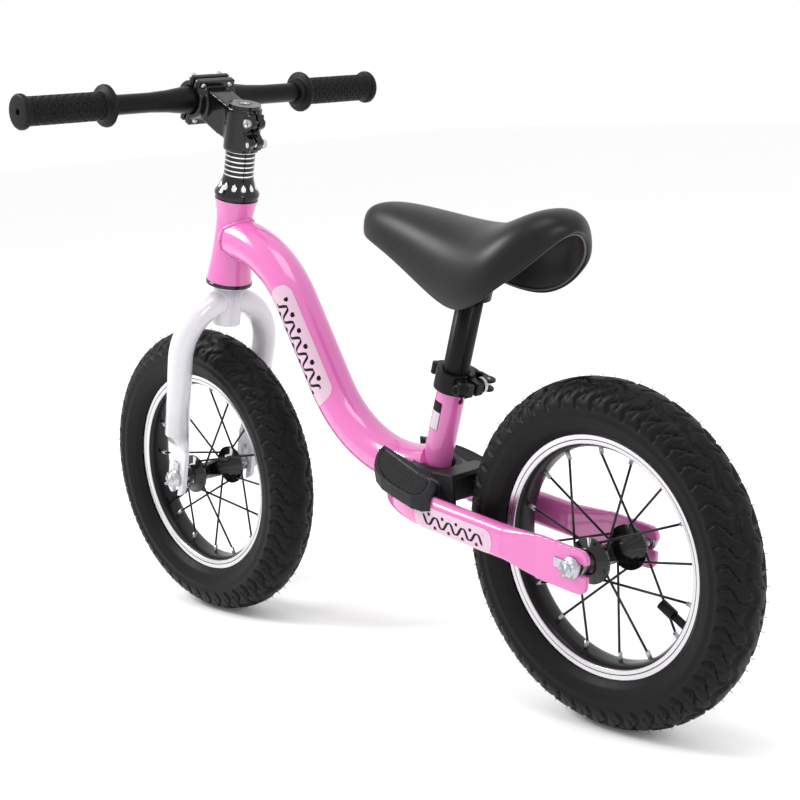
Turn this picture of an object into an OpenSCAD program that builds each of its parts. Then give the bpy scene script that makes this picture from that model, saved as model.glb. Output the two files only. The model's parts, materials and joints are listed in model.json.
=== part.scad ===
// Child's balance bike: curved single main tube, unicrown fork, threadless
// headset, spoked pneumatic wheels, quick-release saddle and a moulded footrest.
// +X is forwards, +Y is the rider's left, +Z is up, and Z = 0 is the ground.

/* [Wheels] */
// Distance between the two axles
wheelbase = 550; // [520:1:580]
// Outside diameter of the tyre
tyre_d = 304; // [300:1:306]
// Outside width of the tyre
tyre_w = 54; // [50:1:55]
// Outside diameter of the rim flange
rim_d = 216; // [214:1:216]
// Diameter of one spoke
spoke_d = 2.2; // [1.8:0.1:2.6]

/* [Frame] */
// Angle of the steering axis from the ground
head_angle = 75; // [74:0.5:76]
// Angle of the seat tube from the ground
seat_angle = 70.7; // [70:0.1:72]
// Outside diameter of the main tube
main_d = 42; // [40:0.5:43]
// Outside diameter of the seat tube
seat_tube_d = 27.2; // [26.8:0.1:27.4]
// Wall of the frame tubes
wall = 1.5; // [1.2:0.1:1.8]
// Height of the oval rear stays
stay_h = 31; // [29:0.5:32]
// Width of the oval rear stays
stay_w = 16; // [14:0.5:17]

/* [Fork and bars] */
// Outside diameter of the fork legs
leg_d = 25.4; // [24:0.2:25.6]
// Distance from the middle of the bike to the middle of a fork leg at the axle
leg_y = 49; // [48:0.5:50]
// Overall width of the handlebar over its grips
bar_w = 438; // [400:2:460]
// Diameter of the bar inside the grips
bar_d = 19.6; // [19:0.2:20.4]
// Diameter of the bar where the stem holds it
bar_clamp_d = 27.4; // [26:0.2:28]
// Outside diameter of the grips
grip_d = 27; // [26:0.5:29]

/* [Saddle] */
// Diameter of the seat post
post_d = 24; // [23.8:0.05:24.05]

/* [Hidden] */
$fn = 64;

axle_h = tyre_d / 2;
front_x = wheelbase / 2;
rear_x = -wheelbase / 2;

// Colours of the finishes
pink = "hotpink";
white_gloss = "white";
black_gloss = "#17171a";
black_satin = "#1e1e20";
rubber_black = "#1b1b1c";
steel = "silver";

// Stations along the steering axis, measured up from the front axle
cup_lip = 4;
head_low = 215;
head_high = 301;
waist_s = 275;
head_low_r = 23.2;
head_waist_r = 18.2;
head_high_r = 22;
head_bore_r = 15.1;
steerer_r = 12.7;
steerer_top = 391;
steerer_low = 168;
cone_top = 326;
stack_top = 350;
stem_low = 350.5;
stem_high = 394;
stem_r = 17.8;
bar_s = 388;
bar_reach = 60.5;

// Main tube: a low bend, a straight and a high bend in the bike's middle plane
tube_low = [-41.3, 198];
low_end_angle = -14;
low_bore_angle = -6;
mid_angle = 61;
top_end_angle = 2.5;
top_bore_angle = 7.5;
low_bend_r = 126;
top_bend_r = 115;
tube_straight = 92.4;
tube_end_x = -5;
straight_low = tube_low + low_bend_r * [sin(mid_angle), 1 - cos(mid_angle)];

// Seat tube: stations run up its axis from a point inside the low joint
seat_base = [-68.5, 0, 195];
seat_tube_low = -16;
seat_tube_high = 104;
slot_low = 79;
slot_w = 3;
post_low = 35;
post_high = 208;
post_r = post_d / 2;
post_gap = 0.08;
collar_low = 86;
collar_high = 106;
collar_r = 17.5;
skewer_back = 21.5;
skewer_t = 97;
lever_pivot_y = -21.5;

// Rear stays: a straight run from the axle, then one bend inwards
stay_slope = 7.5;
stay_drop = 2.8;
stay_y = 43.5;
stay_straight = 170;
stay_bend_r = 126;
stay_bend_a = 35;
plate_h = 39;
plate_t = 5;
plate_y = 45.5;

// Hub and axle stations, measured out from the middle of the bike
axle_r = 4.6;
flange_y = 24.5;
flange_r = 20;
flange_t = 3;
hub_r = 9;
barrel_r = 12.5;
barrel_y = 31;
plate_in = 43;
plate_out = 48;
washer_t = 1.6;
nut_out = 55.5;
axle_end = 57;

// Rim and tyre sections, in radius from the axle
rim_r = rim_d / 2;
rim_in_r = rim_r - 15;
rim_half = 15;
tyre_r = tyre_d / 2;
carcass_t = 3.2;
tyre_mid_r = tyre_r - tyre_w / 2;
spokes_per_side = 8;
cross_angle = 45;
rear_phase = -4;
front_phase = 4.5;
nipple_in_r = 86;
rear_valve_a = -148;
front_valve_a = -29;

// ---------------------------------------------------------------- placing

module on_steering_axis() {
  translate([front_x, 0, axle_h]) rotate([0, head_angle - 90, 0]) children();
}

module on_seat_axis() {
  translate(seat_base) rotate([0, seat_angle - 90, 0]) children();
}

module on_stay(side) {
  translate([rear_x, 0, axle_h - stay_drop])
    rotate([0, -stay_slope, 0])
      scale_y(side) children();
}

module scale_y(side) {
  if (side > 0) children();
  else mirror([0, 1, 0]) children();
}

module both_sides() {
  children();
  mirror([0, 1, 0]) children();
}

module ring(r_out, r_in, h) {
  difference() {
    cylinder(r = r_out, h = h);
    translate([0, 0, -1]) cylinder(r = r_in, h = h + 2);
  }
}

module hexagon(across_flats, h) {
  cylinder(r = across_flats / 2 / cos(30), h = h, $fn = 6);
}

// ---------------------------------------------------------------- frame

function head_r(s) = s < waist_s
  ? head_waist_r + (head_low_r - head_waist_r) * pow((waist_s - s) / (waist_s - head_low), 1.8)
  : head_waist_r + (head_high_r - head_waist_r) * pow((s - waist_s) / (head_high - waist_s), 2);

module head_tube_outside() {
  steps = 12;
  outline = [for (i = [0:steps]) let (s = head_low + (head_high - head_low) * i / steps) [head_r(s), s]];
  rotate_extrude() polygon(concat([[0, head_low]], outline, [[0, head_high]]));
}

module head_tube() {
  color(pink) on_steering_axis() difference() {
    head_tube_outside();
    translate([0, 0, head_low - 1]) cylinder(r = head_bore_r, h = head_high - head_low + 2);
  }
}

// The run of the main tube, from the angle of its low end to that of its top end
module main_sweep(r, low_angle, top_angle) {
  translate([straight_low[0], 0, straight_low[1]]) rotate([0, 90 - mid_angle, 0]) {
    cylinder(r = r, h = tube_straight);
    translate([0, 0, tube_straight]) bend(r, top_bend_r, mid_angle - top_angle);
    mirror([0, 0, 1]) mirror([1, 0, 0]) bend(r, low_bend_r, mid_angle - low_angle);
  }
}

// A bend that leaves +Z and turns towards +X
module bend(r, bend_r, sweep) {
  translate([bend_r, 0, 0]) mirror([1, 0, 0]) rotate([90, 0, 0])
    rotate_extrude(angle = sweep) translate([bend_r, 0]) circle(r = r);
}

module main_tube() {
  color(pink) difference() {
    main_sweep(main_d / 2, low_end_angle, top_end_angle);
    main_sweep(main_d / 2 - wall, low_bore_angle, top_bore_angle);
    on_steering_axis() head_tube_outside();
    on_steering_axis() translate([tube_end_x, -main_d, head_low]) cube([main_d, 2 * main_d, 100]);
    on_seat_axis() translate([0, 0, seat_tube_low - 20]) cylinder(r = seat_tube_d / 2, h = 140);
    on_seat_axis() translate([-60, -main_d, seat_tube_low - 20]) cube([60, 2 * main_d, 100]);
  }
}

module seat_tube() {
  color(pink) on_seat_axis() difference() {
    translate([0, 0, seat_tube_low]) cylinder(r = seat_tube_d / 2, h = seat_tube_high - seat_tube_low);
    translate([0, 0, seat_tube_low - 1]) cylinder(r = post_r + post_gap, h = 140);
    translate([-20, -slot_w / 2, slot_low]) cube([20, slot_w, 40]);
    translate([0, 0, slot_low]) rotate([0, -90, 0]) cylinder(r = 3, h = 20);
  }
}

module stadium(w, h) {
  translate([0, (h - w) / 2]) circle(d = w);
  translate([0, -(h - w) / 2]) circle(d = w);
  square([w, h - w], center = true);
}

module stay_oval(w, h, from_x, extra_a) {
  translate([from_x, stay_y, 0]) rotate([90, 0, 90])
    linear_extrude(stay_straight - from_x) stadium(w, h);
  translate([stay_straight, stay_y - stay_bend_r, 0]) mirror([0, 1, 0]) rotate([0, 0, -90])
    rotate_extrude(angle = stay_bend_a + extra_a) translate([stay_bend_r, 0]) stadium(w, h);
}

module stay_plate() {
  translate([-6, plate_y + plate_t / 2, 0]) rotate([90, 0, 0])
    linear_extrude(plate_t) difference() {
      union() {
        translate([0, -plate_h / 2]) square([46, plate_h]);
        translate([-9, -plate_h / 2 + 9]) square([10, plate_h - 18]);
        translate([0, plate_h / 2 - 9]) circle(r = 9);
        translate([0, -plate_h / 2 + 9]) circle(r = 9);
      }
      translate([6, stay_drop]) circle(r = axle_r + 0.2);
      translate([-20, stay_drop - axle_r - 0.2]) square([26, 2 * axle_r + 0.4]);
    }
}

// How far the ends of a blended neck lie inside the shapes they join
skin = 0.4;

module stay_neck() {
  hull() {
    translate([37, plate_y - plate_t / 2 + skin, -plate_h / 2 + skin])
      cube([1, plate_t - 2 * skin, plate_h - 2 * skin]);
    translate([79, stay_y, 0]) rotate([90, 0, 90])
      linear_extrude(1) stadium(stay_w - 2 * skin, stay_h - 2 * skin, $fn = 32);
  }
}

// The hollow of a stay, which a solid sleeve for the footrest screw crosses
module stay_bore() {
  difference() {
    stay_oval(stay_w - 2 * wall, stay_h - 2 * wall, 84, -3);
    translate([screw_x, screw_y, -stay_h]) cylinder(r = 6.2, h = 2 * stay_h);
  }
}

module stay(side) {
  color(pink) difference() {
    on_stay(side) union() {
      stay_plate();
      stay_neck();
      difference() {
        stay_oval(stay_w, stay_h, 78, 0);
        stay_bore();
        translate([screw_x, screw_y, -stay_h]) cylinder(r = screw_r + 0.1, h = 2 * stay_h);
        translate([screw_x, screw_y, -stay_h]) cylinder(r = screw_head_r + 0.2, h = stay_h + screw_low);
      }
    }
    main_sweep(main_d / 2, low_end_angle, top_end_angle);
    on_seat_axis() translate([0, 0, seat_tube_low - 20]) cylinder(r = seat_tube_d / 2, h = 140);
  }
}

module stay_left() { stay(1); }
module stay_right() { stay(-1); }

// ---------------------------------------------------------------- headset

bearing_r = 18.5;
bearing_h = 5;

module headset_cups() {
  color(black_gloss) on_steering_axis() {
    difference() {
      union() {
        translate([0, 0, head_low - cup_lip]) cylinder(r = head_low_r + 0.3, h = cup_lip);
        translate([0, 0, head_low]) cylinder(r = head_bore_r, h = 10);
      }
      translate([0, 0, head_low - cup_lip - 1]) cylinder(r = 14, h = 20);
      translate([0, 0, head_low - cup_lip - 1]) cylinder(r = bearing_r, h = cup_lip);
    }
    difference() {
      union() {
        translate([0, 0, head_high]) cylinder(r = head_high_r - 0.5, h = cup_lip);
        translate([0, 0, head_high - 10]) cylinder(r = head_bore_r, h = 10);
      }
      translate([0, 0, head_high - 12]) cylinder(r = 14, h = 20);
      translate([0, 0, head_high + 1]) cylinder(r = bearing_r, h = cup_lip);
    }
  }
}

module headset_bearings() {
  color(steel) on_steering_axis() {
    translate([0, 0, head_low - cup_lip]) ring(bearing_r, 13.5, cup_lip - 1);
    translate([0, 0, head_high + 1]) ring(bearing_r, 13.5, cup_lip - 1);
  }
}

module crown_race() {
  color(steel) on_steering_axis()
    translate([0, 0, head_low - cup_lip - 3.1]) ring(17, steerer_r, 3);
}

module headset_cone() {
  low = head_high + cup_lip + 0.2;
  steps = 8;
  flare = [for (i = [0:steps]) let (u = i / steps) [15.2 + 7.3 * pow(1 - u, 1.7), low + 3 + (cone_top - low - 3) * u]];
  color(black_gloss) on_steering_axis() rotate_extrude()
    polygon(concat([[steerer_r, low], [22.5, low]], flare, [[steerer_r, cone_top]]));
}

spacer_count = 5;
spacer_pitch = (stack_top - cone_top) / spacer_count;
silver_t = 1.2;

module headset_spacers() {
  color(black_gloss) on_steering_axis()
    for (i = [0:spacer_count - 1])
      translate([0, 0, cone_top + i * spacer_pitch + silver_t]) ring(14.8, steerer_r, spacer_pitch - silver_t);
}

module spacer_rings() {
  color(steel) on_steering_axis() {
    for (i = [0:spacer_count - 1])
      translate([0, 0, cone_top + i * spacer_pitch]) ring(15.2, steerer_r, silver_t);
    translate([0, 0, stack_top]) ring(15.2, steerer_r, stem_low - stack_top);
  }
}

// ---------------------------------------------------------------- fork

leg_splay = 2.3;
leg_arc_r = 54.5;
leg_arc_s = 136;
leg_low = -18;
leg_flat_s = 34;

// The splayed axis of a fork leg, from the level of the axle
module on_leg() {
  translate([0, leg_y, 0]) rotate([-leg_splay, 0, 0]) children();
}

module leg_sweep(r, low) {
  on_leg() {
    translate([0, 0, low]) cylinder(r = r, h = leg_arc_s - low);
    translate([0, -leg_arc_r, leg_arc_s]) rotate([90, 0, 90])
      rotate_extrude(angle = 90 + leg_splay) translate([leg_arc_r, 0]) circle(r = r);
  }
}

module leg_plate() {
  translate([0, plate_out, 0]) rotate([90, 0, 0]) linear_extrude(plate_out - plate_in) difference() {
    union() {
      translate([-leg_d / 2, leg_low + 8]) square([leg_d, leg_flat_s - leg_low - 8]);
      translate([leg_d / 2 - 9, leg_low + 9]) circle(r = 9);
      translate([9 - leg_d / 2, leg_low + 9]) circle(r = 9);
      translate([9 - leg_d / 2, leg_low]) square([leg_d - 18, 10]);
    }
    circle(r = axle_r + 0.2);
    translate([-axle_r - 0.2, leg_low - 1]) square([2 * axle_r + 0.4, -leg_low + 1]);
    translate([0, 18]) circle(r = 2);
  }
}

module fork_leg(side) {
  color(white_gloss) on_steering_axis() scale_y(side) {
    leg_plate();
    hull() {
      translate([-leg_d / 2 + skin, plate_in + skin, leg_flat_s - 3])
        cube([leg_d - 2 * skin, plate_out - plate_in - 2 * skin, 1]);
      on_leg() translate([0, 0, 54]) cylinder(d = leg_d - 2 * skin, h = 1, $fn = 32);
    }
    difference() {
      leg_sweep(leg_d / 2, 52);
      leg_sweep(leg_d / 2 - wall, 60);
      translate([0, 0, steerer_low - 20]) cylinder(r = steerer_base_r, h = 80);
      translate([-40, -60, 100]) cube([80, 60, 120]);
    }
  }
}

module fork_leg_left() { fork_leg(1); }
module fork_leg_right() { fork_leg(-1); }

steerer_base_r = 15;
steerer_base_top = 207.9;

module steerer_tube() {
  color(white_gloss) on_steering_axis() difference() {
    union() {
      translate([0, 0, steerer_low]) cylinder(r = steerer_base_r, h = steerer_base_top - steerer_low);
      translate([0, 0, steerer_low]) cylinder(r = steerer_r, h = steerer_top - steerer_low);
    }
    translate([0, 0, steerer_low - 1]) cylinder(r = steerer_r - wall, h = steerer_top - steerer_low + 2);
  }
}

// ---------------------------------------------------------------- stem and bar

arm_w = 27;
clamp_w = 46;
clamp_r = 19.5;
ear_h = 24.5;
ear_t = 8;
split = 1.2;
face_bolt_y = 16;
face_bolt_z = 19.5;
face_angle = 15;

module at_bar() {
  on_steering_axis() translate([bar_reach, 0, bar_s]) rotate([0, -face_angle, 0]) children();
}

module bar_barrel() {
  rotate([90, 0, 0]) cylinder(r = clamp_r, h = clamp_w, center = true);
}

module stem_body() {
  color(black_gloss) difference() {
    union() {
      on_steering_axis() translate([0, 0, stem_low]) cylinder(r = stem_r, h = stem_high - stem_low);
      on_steering_axis() translate([-25, -9, stem_low + 4]) cube([14, 18, stem_high - stem_low - 7]);
      on_steering_axis() translate([0, arm_w / 2, 0]) rotate([90, 0, 0]) linear_extrude(arm_w)
        polygon([[0, 359], [0, 391], [24, 397], [52, 404], [60, 380], [50, 370], [24, 362]]);
      at_bar() bar_barrel();
      at_bar() for (z = [-1, 1])
        translate([-ear_t - split, -clamp_w / 2, z > 0 ? 8 : -ear_h]) cube([ear_t, clamp_w, ear_h - 8]);
    }
    on_steering_axis() translate([0, 0, stem_low - 1]) cylinder(r = steerer_r, h = 60);
    on_steering_axis() translate([0, 0, stem_high]) cylinder(r = cap_r + 0.4, h = 10);
    on_steering_axis() translate([-40, -1, stem_low - 1]) cube([40, 2, 60]);
    on_steering_axis() for (s = clamp_bolt_s) translate([-20, 0, s]) rotate([90, 0, 0])
      cylinder(r = 2.5, h = 60, center = true);
    at_bar() rotate([90, 0, 0]) cylinder(d = bar_clamp_d, h = 80, center = true);
    at_bar() translate([-split, -40, -40]) cube([60, 80, 80]);
    at_bar() face_bolt_places() cylinder(r = 2.5, h = 60, center = true);
  }
}

clamp_bolt_s = [361, 383];

module face_bolt_places() {
  for (y = [-face_bolt_y, face_bolt_y], z = [-face_bolt_z, face_bolt_z])
    translate([0, y, z]) rotate([0, 90, 0]) children();
}

module stem_faceplate() {
  color(black_gloss) at_bar() difference() {
    union() {
      bar_barrel();
      for (z = [8, -ear_h]) translate([0, -clamp_w / 2, z]) cube([ear_t - 1, clamp_w, ear_h - 8]);
    }
    rotate([90, 0, 0]) cylinder(d = bar_clamp_d, h = 80, center = true);
    translate([-60 + split, -40, -40]) cube([60, 80, 80]);
    face_bolt_places() cylinder(r = 2.7, h = 60, center = true);
  }
}

module faceplate_bolts() {
  color(steel) at_bar() face_bolt_places() {
    translate([0, 0, -ear_t - split - 0.5]) cylinder(r = 2.5, h = 2 * ear_t + split - 0.5);
    difference() {
      translate([0, 0, ear_t - 1]) cylinder(r = 4.3, h = 4);
      translate([0, 0, ear_t + 0.5]) hexagon(4, 4);
    }
  }
}

module stem_clamp_bolts() {
  color(steel) on_steering_axis() for (i = [0, 1]) translate([-20, 0, clamp_bolt_s[i]])
    rotate([90, 0, i * 180]) {
      translate([0, 0, -10]) cylinder(r = 2.5, h = 19);
      difference() {
        translate([0, 0, 9]) cylinder(r = 4.3, h = 4);
        translate([0, 0, 10.5]) hexagon(4, 4);
      }
    }
}

cap_r = 16.2;

module stem_cap() {
  color(black_gloss) on_steering_axis() difference() {
    translate([0, 0, stem_high]) cylinder(r = cap_r, h = 3.5);
    translate([0, 0, stem_high - 1]) cylinder(r = 3.2, h = 6);
    translate([0, 0, stem_high + 1.5]) cylinder(r = 5.2, h = 6);
  }
}

module stem_cap_bolt() {
  color(steel) on_steering_axis() {
    translate([0, 0, stem_high - 34]) cylinder(r = 3, h = 35.5);
    difference() {
      translate([0, 0, stem_high + 1.5]) cylinder(r = 5, h = 2.6);
      translate([0, 0, stem_high + 2.5]) hexagon(5, 4);
    }
  }
}

module star_nut() {
  color(steel) on_steering_axis()
    for (z = [0, 8]) translate([0, 0, stem_high - 32 + z]) ring(steerer_r - wall, 3, 1.5);
}

bar_bulge_y = 27;
bar_taper_y = 62;

module handlebar() {
  half = bar_w / 2 - 3;
  outline = [[0, 0], [bar_clamp_d / 2, 0], [bar_clamp_d / 2, bar_bulge_y],
    [bar_d / 2 + 1.2, bar_taper_y - 12], [bar_d / 2, bar_taper_y + 10], [bar_d / 2, half], [0, half]];
  color(black_satin) on_steering_axis() translate([bar_reach, 0, bar_s]) difference() {
    both_sides() rotate([-90, 0, 0]) rotate_extrude() polygon(outline);
    rotate([90, 0, 0]) cylinder(d = bar_d - 2 * wall, h = bar_w + 20, center = true);
  }
}

grip_in = 114;
grip_flange = 120;

module grip(side) {
  half = bar_w / 2;
  color(rubber_black) on_steering_axis() translate([bar_reach, 0, bar_s]) scale_y(side)
    rotate([-90, 0, 0]) difference() {
      union() {
        translate([0, 0, grip_in]) cylinder(d = grip_d + 1, h = grip_flange - grip_in);
        translate([0, 0, grip_flange]) cylinder(d = 41.5, h = 5.5);
        translate([0, 0, grip_flange]) cylinder(d = grip_d, h = half - grip_flange - 1);
        translate([0, 0, half - 6]) cylinder(d = 34, h = 6);
      }
      translate([0, 0, grip_in - 1]) cylinder(d = bar_d, h = half - 3 - grip_in + 1);
      translate([0, 0, half - 10]) cylinder(d = 6, h = 20);
    }
}

module grip_left() { grip(1); }
module grip_right() { grip(-1); }

// ---------------------------------------------------------------- wheels

module wheel_frame(x) {
  translate([x, 0, axle_h]) rotate([90, 0, 0]) children();
}

function at_angle(r, a, y) = [r * cos(a), r * sin(a), y];

module rod(p, q, d) {
  v = q - p;
  translate(p) rotate([0, 0, atan2(v[1], v[0])]) rotate([0, atan2(norm([v[0], v[1]]), v[2]), 0])
    cylinder(d = d, h = norm(v));
}

module hub(x) {
  color(black_gloss) wheel_frame(x) difference() {
    union() {
      cylinder(r = hub_r, h = 2 * flange_y, center = true);
      for (z = [-1, 1]) {
        translate([0, 0, z * flange_y]) cylinder(r = flange_r, h = flange_t, center = true);
        translate([0, 0, z > 0 ? flange_y - 8 : -barrel_y]) cylinder(r = barrel_r, h = barrel_y - flange_y + 8);
      }
    }
    cylinder(r = axle_r + 1.2, h = 100, center = true);
    for (z = [-1, 1]) translate([0, 0, z * (barrel_y + flange_y - 0.5) / 2])
      cylinder(r = 10, h = barrel_y - flange_y + 0.5, center = true);
  }
}

module bearings(x) {
  color(steel) wheel_frame(x) both_ends() translate([0, 0, flange_y - 0.5]) ring(10, 7.5, 4);
}

module both_ends() {
  children();
  mirror([0, 0, 1]) children();
}

module axle(x) {
  color(steel) wheel_frame(x) cylinder(r = axle_r, h = 2 * axle_end, center = true);
}

module cones(x) {
  color(steel) wheel_frame(x) both_ends() {
    translate([0, 0, flange_y + 0.5]) ring(7.4, axle_r, 8);
    translate([0, 0, flange_y + 8.5]) difference() {
      hexagon(15, plate_in - flange_y - 8.5);
      translate([0, 0, -1]) cylinder(r = axle_r, h = 20);
    }
  }
}

module tab_washers(x, tab_dir) {
  color(steel) wheel_frame(x) both_ends() translate([0, 0, plate_out]) difference() {
    union() {
      cylinder(r = 8.6, h = washer_t);
      rotate([0, 0, tab_dir]) translate([0, -4, 0]) cube([19, 8, washer_t]);
    }
    translate([0, 0, -1]) cylinder(r = axle_r, h = 5);
  }
}

module axle_nuts(x) {
  color(steel) wheel_frame(x) both_ends() translate([0, 0, plate_out + washer_t]) difference() {
    union() {
      hexagon(15, nut_out - plate_out - washer_t);
      cylinder(r = 9.4, h = 1.4);
    }
    translate([0, 0, -1]) cylinder(r = axle_r, h = 20);
  }
}

module rim(x) {
  bed = rim_in_r + 3.5;
  half_section = [[rim_in_r, 0], [rim_in_r + 1, 8], [rim_in_r + 4.5, rim_half - 1.6], [rim_r - 3, rim_half],
    [rim_r, rim_half], [rim_r, rim_half - 2.4], [rim_r - 3, rim_half - 2], [rim_in_r + 6.5, rim_half - 3.4],
    [bed, 7], [bed - 1.5, 0]];
  last = len(half_section) - 2;
  other_half = [for (i = [last:-1:1]) [half_section[i][0], -half_section[i][1]]];
  color(steel) wheel_frame(x) rotate_extrude() polygon(concat(half_section, other_half));
}

module spokes(x, phase) {
  color(black_gloss) wheel_frame(x) for (side = [-1, 1], k = [0:spokes_per_side - 1]) {
    hole_a = phase + (side > 0 ? 0 : 22.5) + 45 * k;
    rim_a = hole_a + (k % 2 == 0 ? cross_angle : -cross_angle);
    lift = k % 2 == 0 ? 0.7 : -0.7;
    rod(at_angle(flange_r - 3.5, hole_a, side * (flange_y + lift * 1.9)),
      at_angle(rim_in_r - 6, rim_a, side * (1.5 + lift)), spoke_d);
  }
}

module nipples(x, phase) {
  color(steel) wheel_frame(x) for (side = [-1, 1], k = [0:spokes_per_side - 1]) {
    hole_a = phase + (side > 0 ? 0 : 22.5) + 45 * k;
    rim_a = hole_a + (k % 2 == 0 ? cross_angle : -cross_angle);
    rod(at_angle(nipple_in_r, rim_a, side * 1.8), at_angle(rim_in_r + 1, rim_a, side * 1.2), 4);
  }
}

module tyre(x) {
  shoulder = tyre_w / 2 - 2.4;
  color(rubber_black) wheel_frame(x) rotate_extrude() difference() {
    union() {
      intersection() {
        translate([tyre_mid_r, 0]) circle(d = tyre_w);
        polygon([[rim_r + 0.3, -rim_half], [rim_r + 6, -shoulder - 4], [tyre_r + 5, -shoulder - 4],
          [tyre_r + 5, shoulder + 4], [rim_r + 6, shoulder + 4], [rim_r + 0.3, rim_half]]);
      }
      translate([rim_in_r + 7, -rim_half + 3.6]) square([rim_r - rim_in_r, 2 * rim_half - 7.2]);
    }
    intersection() {
      translate([tyre_mid_r, 0]) circle(d = tyre_w - 2 * carcass_t);
      polygon([[rim_r + 3, -7], [rim_r + 9, -20], [tyre_r, -30], [tyre_r, 30], [rim_r + 9, 20], [rim_r + 3, 7]]);
    }
    translate([rim_in_r, -rim_half + 7]) square([tyre_mid_r - rim_in_r, 2 * rim_half - 14]);
  }
}

module inner_tube(x, valve_a) {
  gap = 0.1;
  outer_r = tyre_w / 2 - carcass_t - gap;
  color(rubber_black) wheel_frame(x) {
    rotate_extrude() difference() {
      intersection() {
        translate([tyre_mid_r, 0]) circle(r = outer_r);
        translate([rim_r + 9.2, -60]) square([60, 120]);
      }
      intersection() {
        translate([tyre_mid_r, 0]) circle(r = outer_r - 1.5);
        translate([rim_r + 10.7, -60]) square([60, 120]);
      }
    }
    rod(at_angle(rim_in_r - 24, valve_a, 0), at_angle(rim_r + 10, valve_a, 0), 7);
  }
}

module valve_cap(x, valve_a) {
  color(rubber_black) wheel_frame(x) difference() {
    rod(at_angle(rim_in_r - 30, valve_a, 0), at_angle(rim_in_r - 15, valve_a, 0), 9.4);
    rod(at_angle(rim_in_r - 24, valve_a, 0), at_angle(rim_in_r, valve_a, 0), 7);
  }
}

module front_axle() { axle(front_x); }
module front_cones() { cones(front_x); }
module front_tab_washers() { tab_washers(front_x, 90 + 90 - head_angle); }
module front_axle_nuts() { axle_nuts(front_x); }
module front_hub() { hub(front_x); }
module front_bearings() { bearings(front_x); }
module front_rim() { rim(front_x); }
module front_spokes() { spokes(front_x, front_phase); }
module front_nipples() { nipples(front_x, front_phase); }
module front_tyre() { tyre(front_x); }
module front_tube() { inner_tube(front_x, front_valve_a); }
module front_valve_cap() { valve_cap(front_x, front_valve_a); }

module rear_axle() { axle(rear_x); }
module rear_cones() { cones(rear_x); }
module rear_tab_washers() { tab_washers(rear_x, stay_slope); }
module rear_axle_nuts() { axle_nuts(rear_x); }
module rear_hub() { hub(rear_x); }
module rear_bearings() { bearings(rear_x); }
module rear_rim() { rim(rear_x); }
module rear_spokes() { spokes(rear_x, rear_phase); }
module rear_nipples() { nipples(rear_x, rear_phase); }
module rear_tyre() { tyre(rear_x); }
module rear_tube() { inner_tube(rear_x, rear_valve_a); }
module rear_valve_cap() { valve_cap(rear_x, rear_valve_a); }

// ---------------------------------------------------------------- footrest

// The two screws stand square to the stays, with heads sunk in their undersides
screw_r = 2.5;
screw_head_r = 4.6;
screw_x = 198;
screw_y = 38.5;
screw_low = -12;
screw_high = 19;

module at_screws() {
  for (side = [-1, 1]) on_stay(side) translate([screw_x, screw_y, 0]) children();
}

// Each wing is a slab that falls to its outer edge and to the rear, with a raised border
wing_t = 10;
wing_recess = 2;
wing_roll = -11.3;
wing_pitch = -17.95;

module wing_slab(top, depth) {
  translate([-27, 26, 219.5]) rotate([wing_roll, wing_pitch, 0]) translate([-110, -60, top - depth])
    cube([150, 120, depth]);
}

module wing_plan() {
  polygon([[-26, 22.6], [-28, 31], [-33, 40], [-41, 50], [-50, 57], [-61, 61], [-75, 62], [-99, 61.5], [-108, 58],
    [-114, 52], [-108, 38], [-97, 22], [-97, 14], [-72.5, 14], [-72.5, 22.6]]);
}

module wing() {
  difference() {
    intersection() {
      wing_slab(0, wing_t);
      translate([0, 0, 140]) linear_extrude(100) wing_plan();
    }
    intersection() {
      wing_slab(8, 8 + wing_recess);
      translate([0, 0, 140]) linear_extrude(100) polygon([[-29.5, 26], [-31.5, 32], [-36, 39.5], [-44, 47.5],
        [-52, 53.5], [-62, 57.5], [-75, 58.5], [-95, 57.5], [-99.5, 54], [-101, 49], [-98, 39], [-91, 28.5],
        [-78, 30], [-62, 29]]);
    }
  }
}

module footrest() {
  color(black_satin) difference() {
    union() {
      both_sides() wing();
      at_screws() translate([0, 0, 12]) cylinder(r = 6, h = screw_high - 11);
      translate([-119, -28, 172]) cube([26, 56, 32]);
      on_seat_axis() translate([0, 0, -4]) cylinder(r = 24, h = 18);
    }
    on_seat_axis() translate([0, 0, -40]) cylinder(r = seat_tube_d / 2 + 3, h = 90);
    translate([-72, -main_d / 2 - 0.6, 150]) cube([80, main_d + 1.2, 100]);
    translate([-140, -24, 150]) cube([43, 48, 50]);
    at_screws() translate([0, 0, 5]) cylinder(r = screw_r, h = screw_high - 5);
    both_sides() on_stay(1) stay_oval(stay_w + 0.2, stay_h + 0.2, 70, 0);
  }
}

module footrest_screws() {
  color(steel) at_screws() {
    translate([0, 0, screw_low]) cylinder(r = screw_r, h = screw_high - screw_low);
    difference() {
      translate([0, 0, screw_low - 3]) cylinder(r = screw_head_r, h = 3);
      translate([0, 0, screw_low - 4]) hexagon(4, 2.5);
    }
  }
}

// ---------------------------------------------------------------- seat clamp

module seat_collar() {
  color(black_satin) on_seat_axis() difference() {
    union() {
      translate([0, 0, collar_low]) cylinder(r = collar_r, h = collar_high - collar_low);
      translate([-skewer_back - 6, -11, collar_low + 4]) cube([20, 22, collar_high - collar_low - 8]);
    }
    translate([0, 0, collar_low - 1]) cylinder(r = seat_tube_d / 2, h = seat_tube_high - collar_low + 1);
    translate([0, 0, collar_low - 1]) cylinder(r = post_r + 0.4, h = 40);
    translate([-50, -slot_w / 2, collar_low - 1]) cube([50, slot_w, 40]);
    translate([-skewer_back, 0, skewer_t]) rotate([90, 0, 0]) cylinder(r = 2.6, h = 60, center = true);
  }
}

skewer_r = 2.5;
pivot_r = 1.5;

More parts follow.
